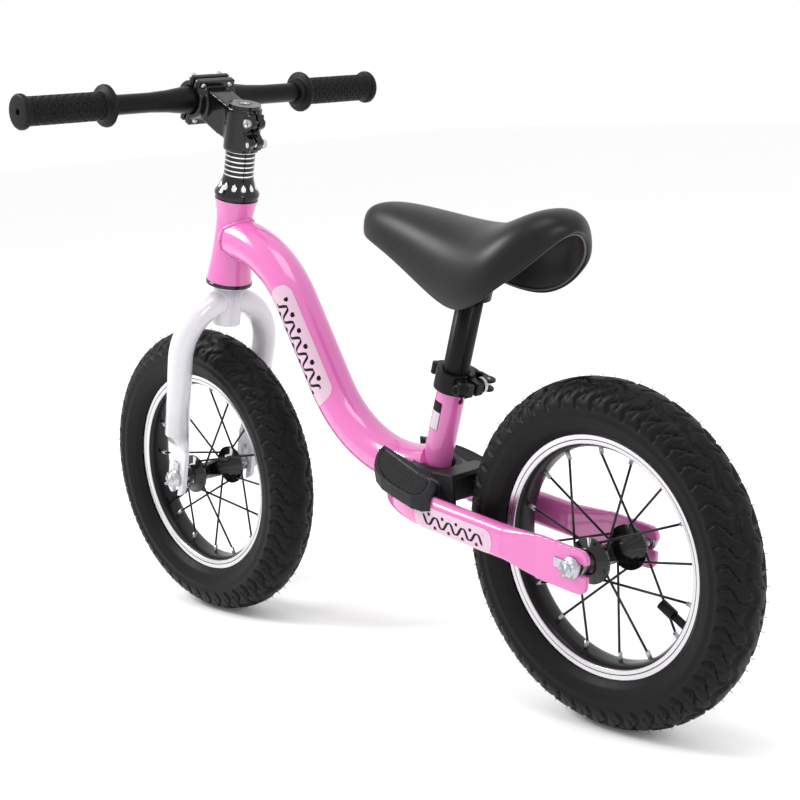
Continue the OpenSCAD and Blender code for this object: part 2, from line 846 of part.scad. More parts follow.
// The skewer with the pivot pin that stands across its lever end
module clamp_skewer() {
  color(steel) on_seat_axis() {
    translate([-skewer_back, 0, skewer_t]) rotate([90, 0, 0])
      translate([0, 0, -16]) cylinder(r = skewer_r, h = 16 - lever_pivot_y + 2.5);
    translate([-skewer_back, lever_pivot_y, skewer_t - lever_h / 2]) cylinder(r = pivot_r, h = lever_h);
  }
}

module clamp_nut() {
  color(black_satin) on_seat_axis() translate([-skewer_back, 11, skewer_t]) rotate([-90, 0, 0])
    difference() {
      union() {
        cylinder(r = 6.8, h = 3);
        cylinder(r = 5.2, h = 8);
      }
      translate([0, 0, -1]) cylinder(r = 2.5, h = 6);
      translate([0, 0, 6]) cylinder(r = 3, h = 6);
    }
}

module clamp_washer() {
  color(steel) on_seat_axis() translate([-skewer_back, -11, skewer_t]) rotate([90, 0, 0])
    ring(7.4, 2.6, 3.4);
}

cam_r = 6.8;
lever_h = 11;
lever_gap = 6.4;
lever_in_r = 21.5;
lever_bar = 4.6;
lever_start = -112;
lever_sweep = 118;
tip_r = 4;

// The quick-release lever in plan: a cam, and an arm bent round the collar to a round tip
module lever_plan() {
  tip_a = lever_start + lever_sweep;
  translate([-skewer_back, lever_pivot_y]) circle(r = cam_r);
  translate([-skewer_back + 1, lever_pivot_y - 5.2]) square([13, 4.4]);
  difference() {
    circle(r = lever_in_r + lever_bar);
    circle(r = lever_in_r);
    polygon(concat([[0, 0]], [for (i = [0:6]) let (a = tip_a + (360 - lever_sweep) * i / 6) [60 * cos(a), 60 * sin(a)]]));
  }
  rotate(tip_a - 3) translate([lever_in_r + 1.7, 0]) circle(r = tip_r);
}

module clamp_lever() {
  color(black_satin) on_seat_axis() translate([0, 0, skewer_t]) difference() {
    translate([0, 0, -lever_h / 2]) linear_extrude(lever_h) lever_plan();
    translate([-skewer_back, lever_pivot_y, -20]) cylinder(r = pivot_r + 0.05, h = 40);
    translate([-skewer_back - 16, lever_pivot_y - 20, -lever_gap / 2]) cube([20, 40, lever_gap]);
  }
}

// ---------------------------------------------------------------- saddle

module seat_post() {
  color(black_satin) on_seat_axis() difference() {
    translate([0, 0, post_low]) cylinder(r = post_r, h = post_high - post_low);
    translate([0, 0, post_low - 1]) cylinder(r = post_r - 2, h = post_high - post_low - 4);
  }
}

// The saddle's outline in side view, in half plan and across its width
saddle_side = [
  [-1, 421], [-3, 431], [-10, 439], [-24, 443], [-45, 443], [-81, 438.5], [-118, 432], [-154, 427],
  [-178, 428], [-200, 434], [-222, 441], [-240, 440], [-252, 432], [-257, 422], [-250, 407],
  [-230, 388], [-200, 367], [-176, 358.5], [-150, 358.5], [-124, 366], [-92, 382], [-55, 400],
  [-20, 410], [-6, 413]
];
saddle_plan = [
  [-2, 0], [-3.5, 8], [-9, 15.5], [-18, 21], [-32, 25.5], [-60, 31], [-100, 40], [-135, 49], [-165, 58],
  [-186, 62.5], [-205, 60], [-220, 52], [-234, 39], [-246, 22], [-252, 8], [-253, 0]
];
saddle_arch = [
  [0, 447], [16, 446], [30, 442], [44, 435], [55, 425], [62, 412], [66, 396], [67.5, 380], [67.5, 340], [0, 340]
];
hollow_side = [
  [-14, 300], [-14, 420], [-24, 433], [-46, 434], [-81, 429.5], [-118, 423], [-154, 418], [-178, 419],
  [-200, 425], [-224, 432], [-240, 427], [-247, 418], [-247, 300]
];
hollow_plan = [
  [-12, 0], [-14, 8], [-30, 15.5], [-60, 22], [-100, 30.5], [-135, 39.5], [-165, 48.5], [-184, 53.5],
  [-199, 51.5], [-213, 43.5], [-226, 31.5], [-238, 16], [-243, 0]
];
hollow_arch = [
  [0, 438], [14, 437], [27, 432.5], [38, 427], [47, 418.5], [53, 408], [57, 394], [58, 380], [58, 300], [0, 300]
];

function whole_plan(half) = concat(half, [for (i = [len(half) - 2:-1:1]) [half[i][0], -half[i][1]]]);
function whole_arch(half) = concat(half, [for (i = [len(half) - 2:-1:1]) [-half[i][0], half[i][1]]]);

module saddle_volume(side, plan, arch) {
  intersection() {
    translate([0, 100, 0]) rotate([90, 0, 0]) linear_extrude(200) polygon(side);
    translate([0, 0, 290]) linear_extrude(200) polygon(whole_plan(plan));
    translate([-300, 0, 0]) rotate([90, 0, 90]) linear_extrude(320) polygon(whole_arch(arch));
  }
}

module saddle_cover() {
  color(black_satin) difference() {
    saddle_volume(saddle_side, saddle_plan, saddle_arch);
    saddle_volume(hollow_side, hollow_plan, hollow_arch);
    saddle_screw_shanks();
  }
}

// Each saddle screw: its place along the bike and the height of the boss above it
saddle_screw_x = [-178, -66];
saddle_boss_top = [418.6, 430.6];
base_low = 403;
base_t = 5;
screw_bite = 6;

module saddle_base() {
  color(black_satin) difference() {
    union() {
      translate([-188, -20, base_low]) cube([132, 40, base_t]);
      on_seat_axis() translate([0, 0, 178]) cylinder(r = 18, h = 40);
      for (i = [0, 1]) translate([saddle_screw_x[i], 0, base_low]) cylinder(r = 8, h = 40);
    }
    on_seat_axis() translate([0, 0, 100]) cylinder(r = post_r, h = post_high - 100);
    saddle_screw_shanks();
    difference() {
      translate([-300, -100, 380]) cube([320, 200, 100]);
      saddle_volume(hollow_side, hollow_plan, hollow_arch);
    }
  }
}

module saddle_screw_shanks() {
  for (i = [0, 1]) translate([saddle_screw_x[i], 0, base_low - 1])
    cylinder(r = screw_r, h = saddle_boss_top[i] - base_low + screw_bite);
}

module saddle_screws() {
  color(steel) {
    saddle_screw_shanks();
    for (i = [0, 1]) translate([saddle_screw_x[i], 0, base_low - 3]) difference() {
      cylinder(r = 5, h = 3);
      translate([0, 0, -1]) hexagon(4, 3);
    }
  }
}

// ---------------------------------------------------------------- nodes

head_tube();
main_tube();
seat_tube();
stay_left();
stay_right();
headset_cups();
headset_bearings();
footrest();
footrest_screws();
seat_collar();
clamp_skewer();
clamp_nut();
clamp_washer();
clamp_lever();
rear_axle();
rear_cones();
rear_axle_nuts();
rear_tab_washers();
saddle_cover();
saddle_base();
saddle_screws();
seat_post();
steerer_tube();
fork_leg_left();
fork_leg_right();
crown_race();
headset_cone();
headset_spacers();
spacer_rings();
stem_body();
stem_faceplate();
faceplate_bolts();
stem_clamp_bolts();
stem_cap();
stem_cap_bolt();
star_nut();
handlebar();
grip_left();
grip_right();
front_axle();
front_cones();
front_axle_nuts();
front_tab_washers();
front_hub();
front_bearings();
front_rim();
front_spokes();
front_nipples();
front_tyre();
front_tube();
front_valve_cap();
rear_hub();
rear_bearings();
rear_rim();
rear_spokes();
rear_nipples();
rear_tyre();
rear_tube();
rear_valve_cap();
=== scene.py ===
"""A child's balance bike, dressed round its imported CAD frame."""

import json
import logging
import math
from dataclasses import dataclass, field
from enum import Enum
from typing import Callable, Optional

import bmesh
import bpy
from mathutils import Matrix, Vector


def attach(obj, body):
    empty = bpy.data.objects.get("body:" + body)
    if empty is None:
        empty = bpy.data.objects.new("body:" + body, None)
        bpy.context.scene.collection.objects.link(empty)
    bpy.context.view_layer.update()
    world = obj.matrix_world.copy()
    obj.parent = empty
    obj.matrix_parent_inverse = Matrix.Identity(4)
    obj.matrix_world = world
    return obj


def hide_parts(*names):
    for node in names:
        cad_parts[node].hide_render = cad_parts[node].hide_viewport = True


logging.basicConfig(level=logging.INFO, format="%(levelname)s %(message)s")
LOG = logging.getLogger("balance_bike")
MM = 0.001
SAME_POINT = 1e-6  # metres: points nearer than this are one
MIX_A, MIX_B, MIX_COLOUR = 6, 7, 2  # the Mix node's two colour inputs and its colour output

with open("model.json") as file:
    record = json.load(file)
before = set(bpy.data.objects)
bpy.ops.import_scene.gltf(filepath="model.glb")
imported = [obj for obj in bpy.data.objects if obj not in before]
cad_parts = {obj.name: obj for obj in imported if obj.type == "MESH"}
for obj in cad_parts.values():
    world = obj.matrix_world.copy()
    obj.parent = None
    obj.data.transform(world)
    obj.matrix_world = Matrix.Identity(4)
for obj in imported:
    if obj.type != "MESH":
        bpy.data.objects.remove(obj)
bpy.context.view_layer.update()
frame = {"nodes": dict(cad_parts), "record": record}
BODIES = frame["record"]["behaviour"]["bodies"]
BODY_OF = {node: body for body, nodes in BODIES.items() for node in nodes}


# ------------------------------------------------------------------ helpers


def linear(hex_colour: str) -> tuple[float, float, float, float]:
    """Turns an sRGB hex colour into the linear RGBA that shaders use.

    Args:
        hex_colour: Six hex digits, with or without a leading hash.

    Returns:
        Red, green, blue and an alpha of one.
    """
    digits = hex_colour.lstrip("#")
    parts = [int(digits[i:i + 2], 16) / 255 for i in (0, 2, 4)]
    r, g, b = (c / 12.92 if c <= 0.04045 else ((c + 0.055) / 1.055) ** 2.4 for c in parts)
    return r, g, b, 1.0


def smoothstep(low: float, high: float, value: float) -> float:
    """Eases from 0 to 1.

    Args:
        low: Where it leaves 0.
        high: Where it reaches 1.
        value: Where it is read.

    Returns:
        The eased value.
    """
    t = min(1.0, max(0.0, (value - low) / (high - low)))
    return t * t * (3 - 2 * t)


def put(tree: bpy.types.NodeTree, kind: str, links: Optional[dict] = None, **settings) -> bpy.types.Node:
    """Adds one shader node.

    Args:
        tree: The material's node tree.
        kind: The node's Blender type name.
        links: Input name or index to the output socket that feeds it.
        settings: Node properties, or input values where no property has the name.

    Returns:
        The new node.
    """
    node = tree.nodes.new(kind)
    for key, value in settings.items():
        if hasattr(node, key):
            setattr(node, key, value)
        else:
            node.inputs[key.replace("_", " ")].default_value = value
    for key, socket in (links or {}).items():
        tree.links.new(socket, node.inputs[key])
    return node


def finish_mesh(
    bm: bmesh.types.BMesh, name: str, body: str, paints: tuple, slot: str, replaces: tuple = (),
    sharp: float = 35.0, outward: bool = True,
) -> bpy.types.Object:
    """Turns a bmesh into a shaded object that rides on a CAD body.

    Args:
        bm: The finished shape, in metres in the bike's frame. It is freed.
        name: The piece's name.
        body: The CAD body it rides on.
        paints: One finish for each material index.
        slot: The record's material slot; not used.
        replaces: CAD nodes that it stands for.
        sharp: Angle in degrees over which an edge stays crisp.
        outward: Whether the faces are turned outwards first.

    Returns:
        The new object.
    """
    if outward:
        bmesh.ops.recalc_face_normals(bm, faces=bm.faces)
    mesh = bpy.data.meshes.new(name)
    bm.to_mesh(mesh)
    bm.free()
    mesh.polygons.foreach_set("use_smooth", [True] * len(mesh.polygons))
    mesh.set_sharp_from_angle(angle=math.radians(sharp))
    for paint in paints:
        mesh.materials.append(dressed(paint))
    obj = bpy.data.objects.new(name, mesh)
    bpy.context.scene.collection.objects.link(obj)
    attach(obj, body)
    if replaces:
        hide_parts(*replaces)
    LOG.info("%s: %d faces on %s", name, len(mesh.polygons), body)
    return obj


def copy_of(node: str) -> bmesh.types.BMesh:
    """A merged copy of a CAD node's mesh.

    Args:
        node: The node's name.

    Returns:
        The copy, in metres.
    """
    bm = bmesh.new()
    bm.from_mesh(frame["nodes"][node].data)
    bmesh.ops.remove_doubles(bm, verts=bm.verts, dist=SAME_POINT)
    return bm


def lathe(profile: list[tuple[float, float]], steps: int, closed: bool = True) -> bmesh.types.BMesh:
    """Spins a section round the Y axis through the origin.

    Args:
        profile: Points (radius, y) in millimetres.
        steps: Steps in the full turn.
        closed: Whether the last point joins the first.

    Returns:
        The spun shape in metres.
    """
    bm = bmesh.new()
    verts = [bm.verts.new((r * MM, y * MM, 0)) for r, y in profile]
    pairs = list(zip(verts, verts[1:])) + ([(verts[-1], verts[0])] if closed else [])
    edges = [bm.edges.new(pair) for pair in pairs]
    bmesh.ops.spin(
        bm, geom=verts + edges, cent=(0, 0, 0), axis=(0, 1, 0), angle=math.tau, steps=steps, use_merge=True
    )
    bmesh.ops.remove_doubles(bm, verts=bm.verts, dist=SAME_POINT)
    return bm


def sheet_on(surface: Callable[[float, float], Vector], columns: int, rows: int) -> bmesh.types.BMesh:
    """A grid laid on a surface.

    Args:
        surface: Gives the point for (a, b), each from -1 to 1.
        columns: Cells along a.
        rows: Cells along b.

    Returns:
        The grid, in metres.
    """
    bm = bmesh.new()
    bmesh.ops.create_grid(bm, x_segments=columns, y_segments=rows, size=1.0)
    for vert in bm.verts:
        vert.co = surface(vert.co.x, vert.co.y)
    return bm


def round_end(a: float, half_length: float, half_width: float, corner: float) -> float:
    """How wide a round-cornered label is at a place along it.

    Args:
        a: The place, from -1 to 1.
        half_length: Half its length in millimetres.
        half_width: Half its width in millimetres.
        corner: Its corners' radius in millimetres.

    Returns:
        The width there as a part of the full width.
    """
    past = abs(a) * half_length - (half_length - corner)
    if past <= 0:
        return 1.0
    return (half_width - corner + math.sqrt(max(corner ** 2 - past ** 2, 0.0))) / half_width


# ------------------------------------------------------------------ finishes


@dataclass(frozen=True)
class Finish:
    """One real surface: its colour, gloss and grain.

    Sizes are in millimetres. tint is the second colour that the mottle fades to.
    """

    name: str
    colour: str
    tint: str
    roughness: float
    metallic: float = 0.0
    ior: float = 1.5
    coat: float = 0.0
    coat_roughness: float = 0.05
    mottle_mm: float = 40.0
    grain_mm: float = 1.0
    grain_depth_mm: float = 0.02
    grain_strength: float = 0.3
    rough_spread: float = 0.05
    specular: float = 0.5

    def make(self) -> bpy.types.Material:
        """Builds the node material: a mottle in colour and roughness, and a fine grain in bump.

        Returns:
            The new material.
        """
        material = bpy.data.materials.new(self.name)
        material.use_nodes = True
        tree = material.node_tree
        shader = tree.nodes["Principled BSDF"]
        shader.inputs["Metallic"].default_value = self.metallic
        if not self.metallic:
            shader.inputs["IOR"].default_value = self.ior
        shader.inputs["Specular IOR Level"].default_value = self.specular
        shader.inputs["Coat Weight"].default_value = self.coat
        shader.inputs["Coat Roughness"].default_value = self.coat_roughness
        place = put(tree, "ShaderNodeTexCoord").outputs["Object"]
        mottle = put(tree, "ShaderNodeTexNoise", {"Vector": place}, Scale=1000 / self.mottle_mm, Detail=3.0)
        mix = put(tree, "ShaderNodeMix", {"Factor": mottle.outputs["Fac"]}, data_type="RGBA")
        mix.inputs[MIX_A].default_value = linear(self.colour)
        mix.inputs[MIX_B].default_value = linear(self.tint)
        tree.links.new(mix.outputs[MIX_COLOUR], shader.inputs["Base Color"])
        spread = put(
            tree, "ShaderNodeMapRange", {"Value": mottle.outputs["Fac"]},
            To_Min=self.roughness - self.rough_spread, To_Max=self.roughness + self.rough_spread,
        )
        tree.links.new(spread.outputs["Result"], shader.inputs["Roughness"])
        grain = put(tree, "ShaderNodeTexNoise", {"Vector": place}, Scale=1000 / self.grain_mm, Detail=2.0)
        bump = put(
            tree, "ShaderNodeBump", {"Height": grain.outputs["Fac"]}, Strength=self.grain_strength,
            Distance=self.grain_depth_mm * MM,
        )
        tree.links.new(bump.outputs["Normal"], shader.inputs["Normal"])
        return material


class Paint(Enum):
    """Every finish on the bike."""

    # Candy pink powder coat under clear lacquer on steel tube: wet-looking, with a faint orange peel
    PINK = Finish("candy_pink_lacquer", "D069AC", "C960A3", 0.22, coat=0.8, coat_roughness=0.04,
                  mottle_mm=120, grain_mm=2.2, grain_depth_mm=0.02, grain_strength=0.12)
    # White gloss enamel on the fork: bright, slightly cool
    WHITE = Finish("white_gloss_enamel", "CFCFD3", "C9CACE", 0.22, coat=0.7, mottle_mm=120,
                   grain_mm=2.2, grain_strength=0.1)
    # Black gloss enamel on forged and machined alloy: sharp small highlights
    GLOSS_BLACK = Finish("black_gloss_enamel", "060607", "0A0A0C", 0.16, coat=0.25, specular=0.3,
                         mottle_mm=30, grain_mm=1.5, grain_strength=0.15)
    # Black satin powder coat on the bar, post and clamp: broad soft highlights
    SATIN_BLACK = Finish("black_satin_powder_coat", "070708", "0B0B0C", 0.34, specular=0.16, mottle_mm=25,
                         grain_mm=0.9, grain_depth_mm=0.04, grain_strength=0.4)
    # Moulded polypropylene of the footrest: satin with a fine spark-eroded grain
    POLYPROPYLENE = Finish("moulded_polypropylene", "121214", "19191C", 0.45, specular=0.3, mottle_mm=20,
                           grain_mm=0.8, grain_depth_mm=0.06, grain_strength=0.6)
    # Soft integral-skin polyurethane of the saddle: dull with a wide sheen and a leathery grain
    SADDLE_SKIN = Finish("integral_skin_polyurethane", "08080A", "0C0C0F", 0.37, specular=0.26, mottle_mm=30,
                         grain_mm=1.3, grain_depth_mm=0.08, grain_strength=0.5, rough_spread=0.06)
    # Rim of the stiff moulded pan under the saddle, painted paler and plainer than its skin: a painted highlight for
    # the light line along its edge
    PAN_LIP_PAINTED_HIGHLIGHT = Finish("pan_lip_painted_highlight", "37373B", "2E2E32", 0.35, mottle_mm=25, grain_mm=1.0)
    # Moulded thermoplastic rubber of the grips and valve caps
    GRIP_RUBBER = Finish("moulded_grip_rubber", "09090A", "0F0F10", 0.5, specular=0.17, mottle_mm=12,
                         grain_mm=0.7, grain_depth_mm=0.05, grain_strength=0.5)
    # Vulcanised tyre rubber: dark and dull, with patches a little glossier than others
    TYRE_RUBBER = Finish("vulcanised_tyre_rubber", "070708", "0C0C0D", 0.46, specular=0.15, mottle_mm=9,
                         grain_mm=0.8, grain_depth_mm=0.08, grain_strength=0.6, rough_spread=0.1)
    # Machined aluminium rim wall: bright with turned rings
    MACHINED_RIM = Finish("machined_aluminium_rim", "D2D0D2", "BDBBBF", 0.24, metallic=1.0, mottle_mm=60,
                          grain_mm=0.9, grain_depth_mm=0.015, grain_strength=0.3)
    # Black anodised inner face of the rim
    ANODISED_BLACK = Finish("black_anodised_aluminium", "0B0B0C", "111113", 0.3, specular=0.3, mottle_mm=50,
                            grain_mm=1.0, grain_strength=0.2)
    # Black oxide spoke wire
    SPOKE_WIRE = Finish("black_oxide_wire", "0E0E10", "1C1C20", 0.34, metallic=0.3, mottle_mm=15, grain_mm=0.8)
    # Bright zinc plating on nuts, bolts, washers and nipples: grey and a little cloudy
    ZINC = Finish("bright_zinc_plate", "C6C7CA", "9FA1A6", 0.3, metallic=1.0, mottle_mm=6, grain_mm=0.6,
                  grain_depth_mm=0.03, grain_strength=0.4, rough_spread=0.1)
    # Polished steel of the spacer rings and the cone's inlays
    POLISHED = Finish("polished_steel", "F2F2F4", "E2E3E6", 0.16, metallic=0.9, mottle_mm=10, grain_mm=0.7,
                      grain_strength=0.1)
    # Pale printed vinyl of the long stickers, under lacquer
    PALE_VINYL = Finish("pale_pink_vinyl", "C9A9BD", "C4A2B7", 0.25, coat=0.6, mottle_mm=60, grain_mm=2.0,
                        grain_strength=0.1)
    # White vinyl of the small label: duller than the stickers
    WHITE_VINYL = Finish("white_vinyl", "C6BCC3", "BFB3BB", 0.3, coat=0.3, mottle_mm=20, grain_mm=1.5,
                         grain_strength=0.1)
    # Black ink of the stickers' print and the label's edge
    BLACK_VINYL = Finish("black_vinyl", "070708", "0A0A0B", 0.35, specular=0.15, mottle_mm=20, grain_mm=1.5,
                         grain_strength=0.1)
    # Plain studio floor
    FLOOR = Finish("pale_studio_floor", "FDFDFD", "FBFBFC", 0.6, mottle_mm=900, grain_mm=40, grain_strength=0.02)


MATERIALS: dict[Paint, bpy.types.Material] = {}


def dressed(paint: Paint) -> bpy.types.Material:
    """The material of a finish, made on first use.

    Args:
        paint: The finish.

    Returns:
        Its material.
    """
    if paint not in MATERIALS:
        MATERIALS[paint] = paint.value.make()
    return MATERIALS[paint]


# ------------------------------------------------------------------ CAD nodes that keep their shape


@dataclass
class CadSkins:
    """The CAD nodes whose shape is right, smoothed and given their finish. Degrees."""

    crease: float = 32.0
    paints: dict = field(default_factory=lambda: {
        Paint.PINK: ("head_tube", "main_tube", "seat_tube"),
        Paint.WHITE: ("steerer_tube", "fork_leg_left", "fork_leg_right"),
        Paint.GLOSS_BLACK: ("headset_cups", "headset_cone", "headset_spacers", "stem_cap", "front_hub", "rear_hub"),
        Paint.SATIN_BLACK: ("seat_post", "handlebar", "clamp_nut", "saddle_base"),
        Paint.SPOKE_WIRE: ("front_spokes", "rear_spokes"),
        Paint.POLISHED: ("spacer_rings",),
        Paint.ZINC: (
            "front_nipples", "rear_nipples", "front_axle", "rear_axle", "front_cones", "rear_cones",
            "front_axle_nuts", "rear_axle_nuts", "front_tab_washers", "rear_tab_washers", "front_bearings",
            "rear_bearings", "headset_bearings", "crown_race", "footrest_screws", "clamp_skewer", "clamp_washer",
            "saddle_screws", "faceplate_bolts", "stem_clamp_bolts", "stem_cap_bolt", "star_nut",
        ),
        Paint.GRIP_RUBBER: ("front_tube", "rear_tube", "front_valve_cap", "rear_valve_cap"),
    })

    def build(self) -> None:
        """Makes a smooth-shaded piece for each node."""
        slots = {s["node"]: s["material_slot"] for s in frame["record"]["subparts"]}
        for paint, nodes in self.paints.items():
            for node in nodes:
                finish_mesh(
                    copy_of(node), f"{node}_finished", BODY_OF[node], (paint,), slots[node], (node,),
                    sharp=self.crease, outward=False,
                )


@dataclass
class CastPiece:
    """A moulded or forged CAD shape whose edges are softened.

    Sizes are in millimetres.
    """

    node: str
    name: str
    paint: Paint
    slot: str
    cell: float = 0.9
    rounds: int = 6
    shape: Optional[Callable[[Vector], Vector]] = None
    easing: float = 0.5

    def build(self) -> bpy.types.Object:
        """Remeshes a copy of the node finely and relaxes its edges.

        Returns:
            The new object.
        """
        obj = finish_mesh(
            copy_of(self.node), self.name, BODY_OF[self.node], (self.paint,), self.slot, (self.node,),
            outward=False,
        )
        remesh = obj.modifiers.new("fine_cells", "REMESH")
        remesh.mode = "VOXEL"
        remesh.voxel_size = self.cell * MM
        remesh.use_smooth_shade = True
        relax = obj.modifiers.new("soft_edges", "SMOOTH")
        relax.factor = self.easing
        relax.iterations = self.rounds
        if self.shape:
            depsgraph = bpy.context.evaluated_depsgraph_get()
            made = bpy.data.meshes.new_from_object(obj.evaluated_get(depsgraph))
            obj.modifiers.clear()
            obj.data = made
            for vert in made.vertices:
                vert.co = self.shape(vert.co)
        return obj


@dataclass
class ClampEars:
    """The two ears at the back of the stem's clamp, each with two bolts. Millimetres in the axis's frame."""

    root: float = -14.0
    middle: float = 372.0
    waist: float = 5.0
    waist_pull: float = 0.75
    ends: tuple = (9.0, 16.0)
    end_pull: float = 0.35

    def drawn_in(self, point: Vector) -> Vector:
        """Draws the ears in between their two bolts and rounds their ends.

        Args:
            point: A point of the stem in metres.

        Returns:
            The point after the change.
        """
        place = SteeringAxis().matrix()
        local = place.inverted() @ point / MM
        if local.x > self.root:
            return point
        gap = (local.z - self.middle) / self.waist
        ends = smoothstep(*self.ends, abs(local.z - self.middle))
        local.x += (self.root - local.x) * (self.waist_pull * math.exp(-gap * gap) + self.end_pull * ends)
        return place @ (local * MM)


# ------------------------------------------------------------------ wheels


@dataclass(frozen=True)
class Tread:
    """A crown rib with notches, a wavy groove each side of it, and slanted blocks down to the shoulders.

    Places across run from 0 at the crown to 1 at a shoulder, and places round are in repeats. A pair of numbers
    is where a groove's wall starts and ends. The left side's pattern is half a repeat behind the right side's.
    """

    groove: float = 2.0
    repeats: int = 25
    wave_middle: float = 0.26
    wave_swing: float = 0.11
    wave_wall: tuple = (0.035, 0.085)
    blocks_from: float = 0.03
    blocks_to: float = 1.02
    slant: float = 1.1
    slant_bow: float = 0.22
    slant_waves: float = 3.2
    slant_wall: tuple = (0.06, 0.15)
    sipes: tuple = (0.5, 0.86)
    sipe_depth: float = 0.45
    sipe_wall: tuple = (0.05, 0.12)
    rib: float = 0.12
    notch_slant: float = 1.4
    notch_depth: float = 0.7
    notch_wall: tuple = (0.04, 0.1)

    def depth(self, u: float, v: float) -> float:
        """Depth below the blocks' tops.

        Args:
            u: Turns of the pattern round the tyre.
            v: Place across the tread, 0 at the crown and 1 at its shoulders.

        Returns:
            Depth in millimetres.
        """
        side = 0.5 if v < 0 else 0.0
        w = abs(v)
        wave = self.wave_middle + self.wave_swing * math.sin(math.tau * (u + side))
        depth = 1 - smoothstep(*self.wave_wall, abs(w - wave))
        if wave + self.blocks_from < w < self.blocks_to:
            bow = self.slant_bow * math.sin(self.slant_waves * w * math.pi)
            slant = (2 * (u + side) + self.slant * w + bow) % 1.0
            depth = max(depth, 1 - smoothstep(*self.slant_wall, min(slant, 1 - slant)))
            if self.sipes[0] < w < self.sipes[1]:
                sipe = (4 * (u + side) + self.slant * w + 0.25) % 1.0
                depth = max(depth, self.sipe_depth * (1 - smoothstep(*self.sipe_wall, min(sipe, 1 - sipe))))
        if w < self.rib:
            notch = (2 * u + self.notch_slant * v) % 1.0
            depth = max(depth, self.notch_depth * (1 - smoothstep(*self.notch_wall, min(notch, 1 - notch))))
        return self.groove * depth


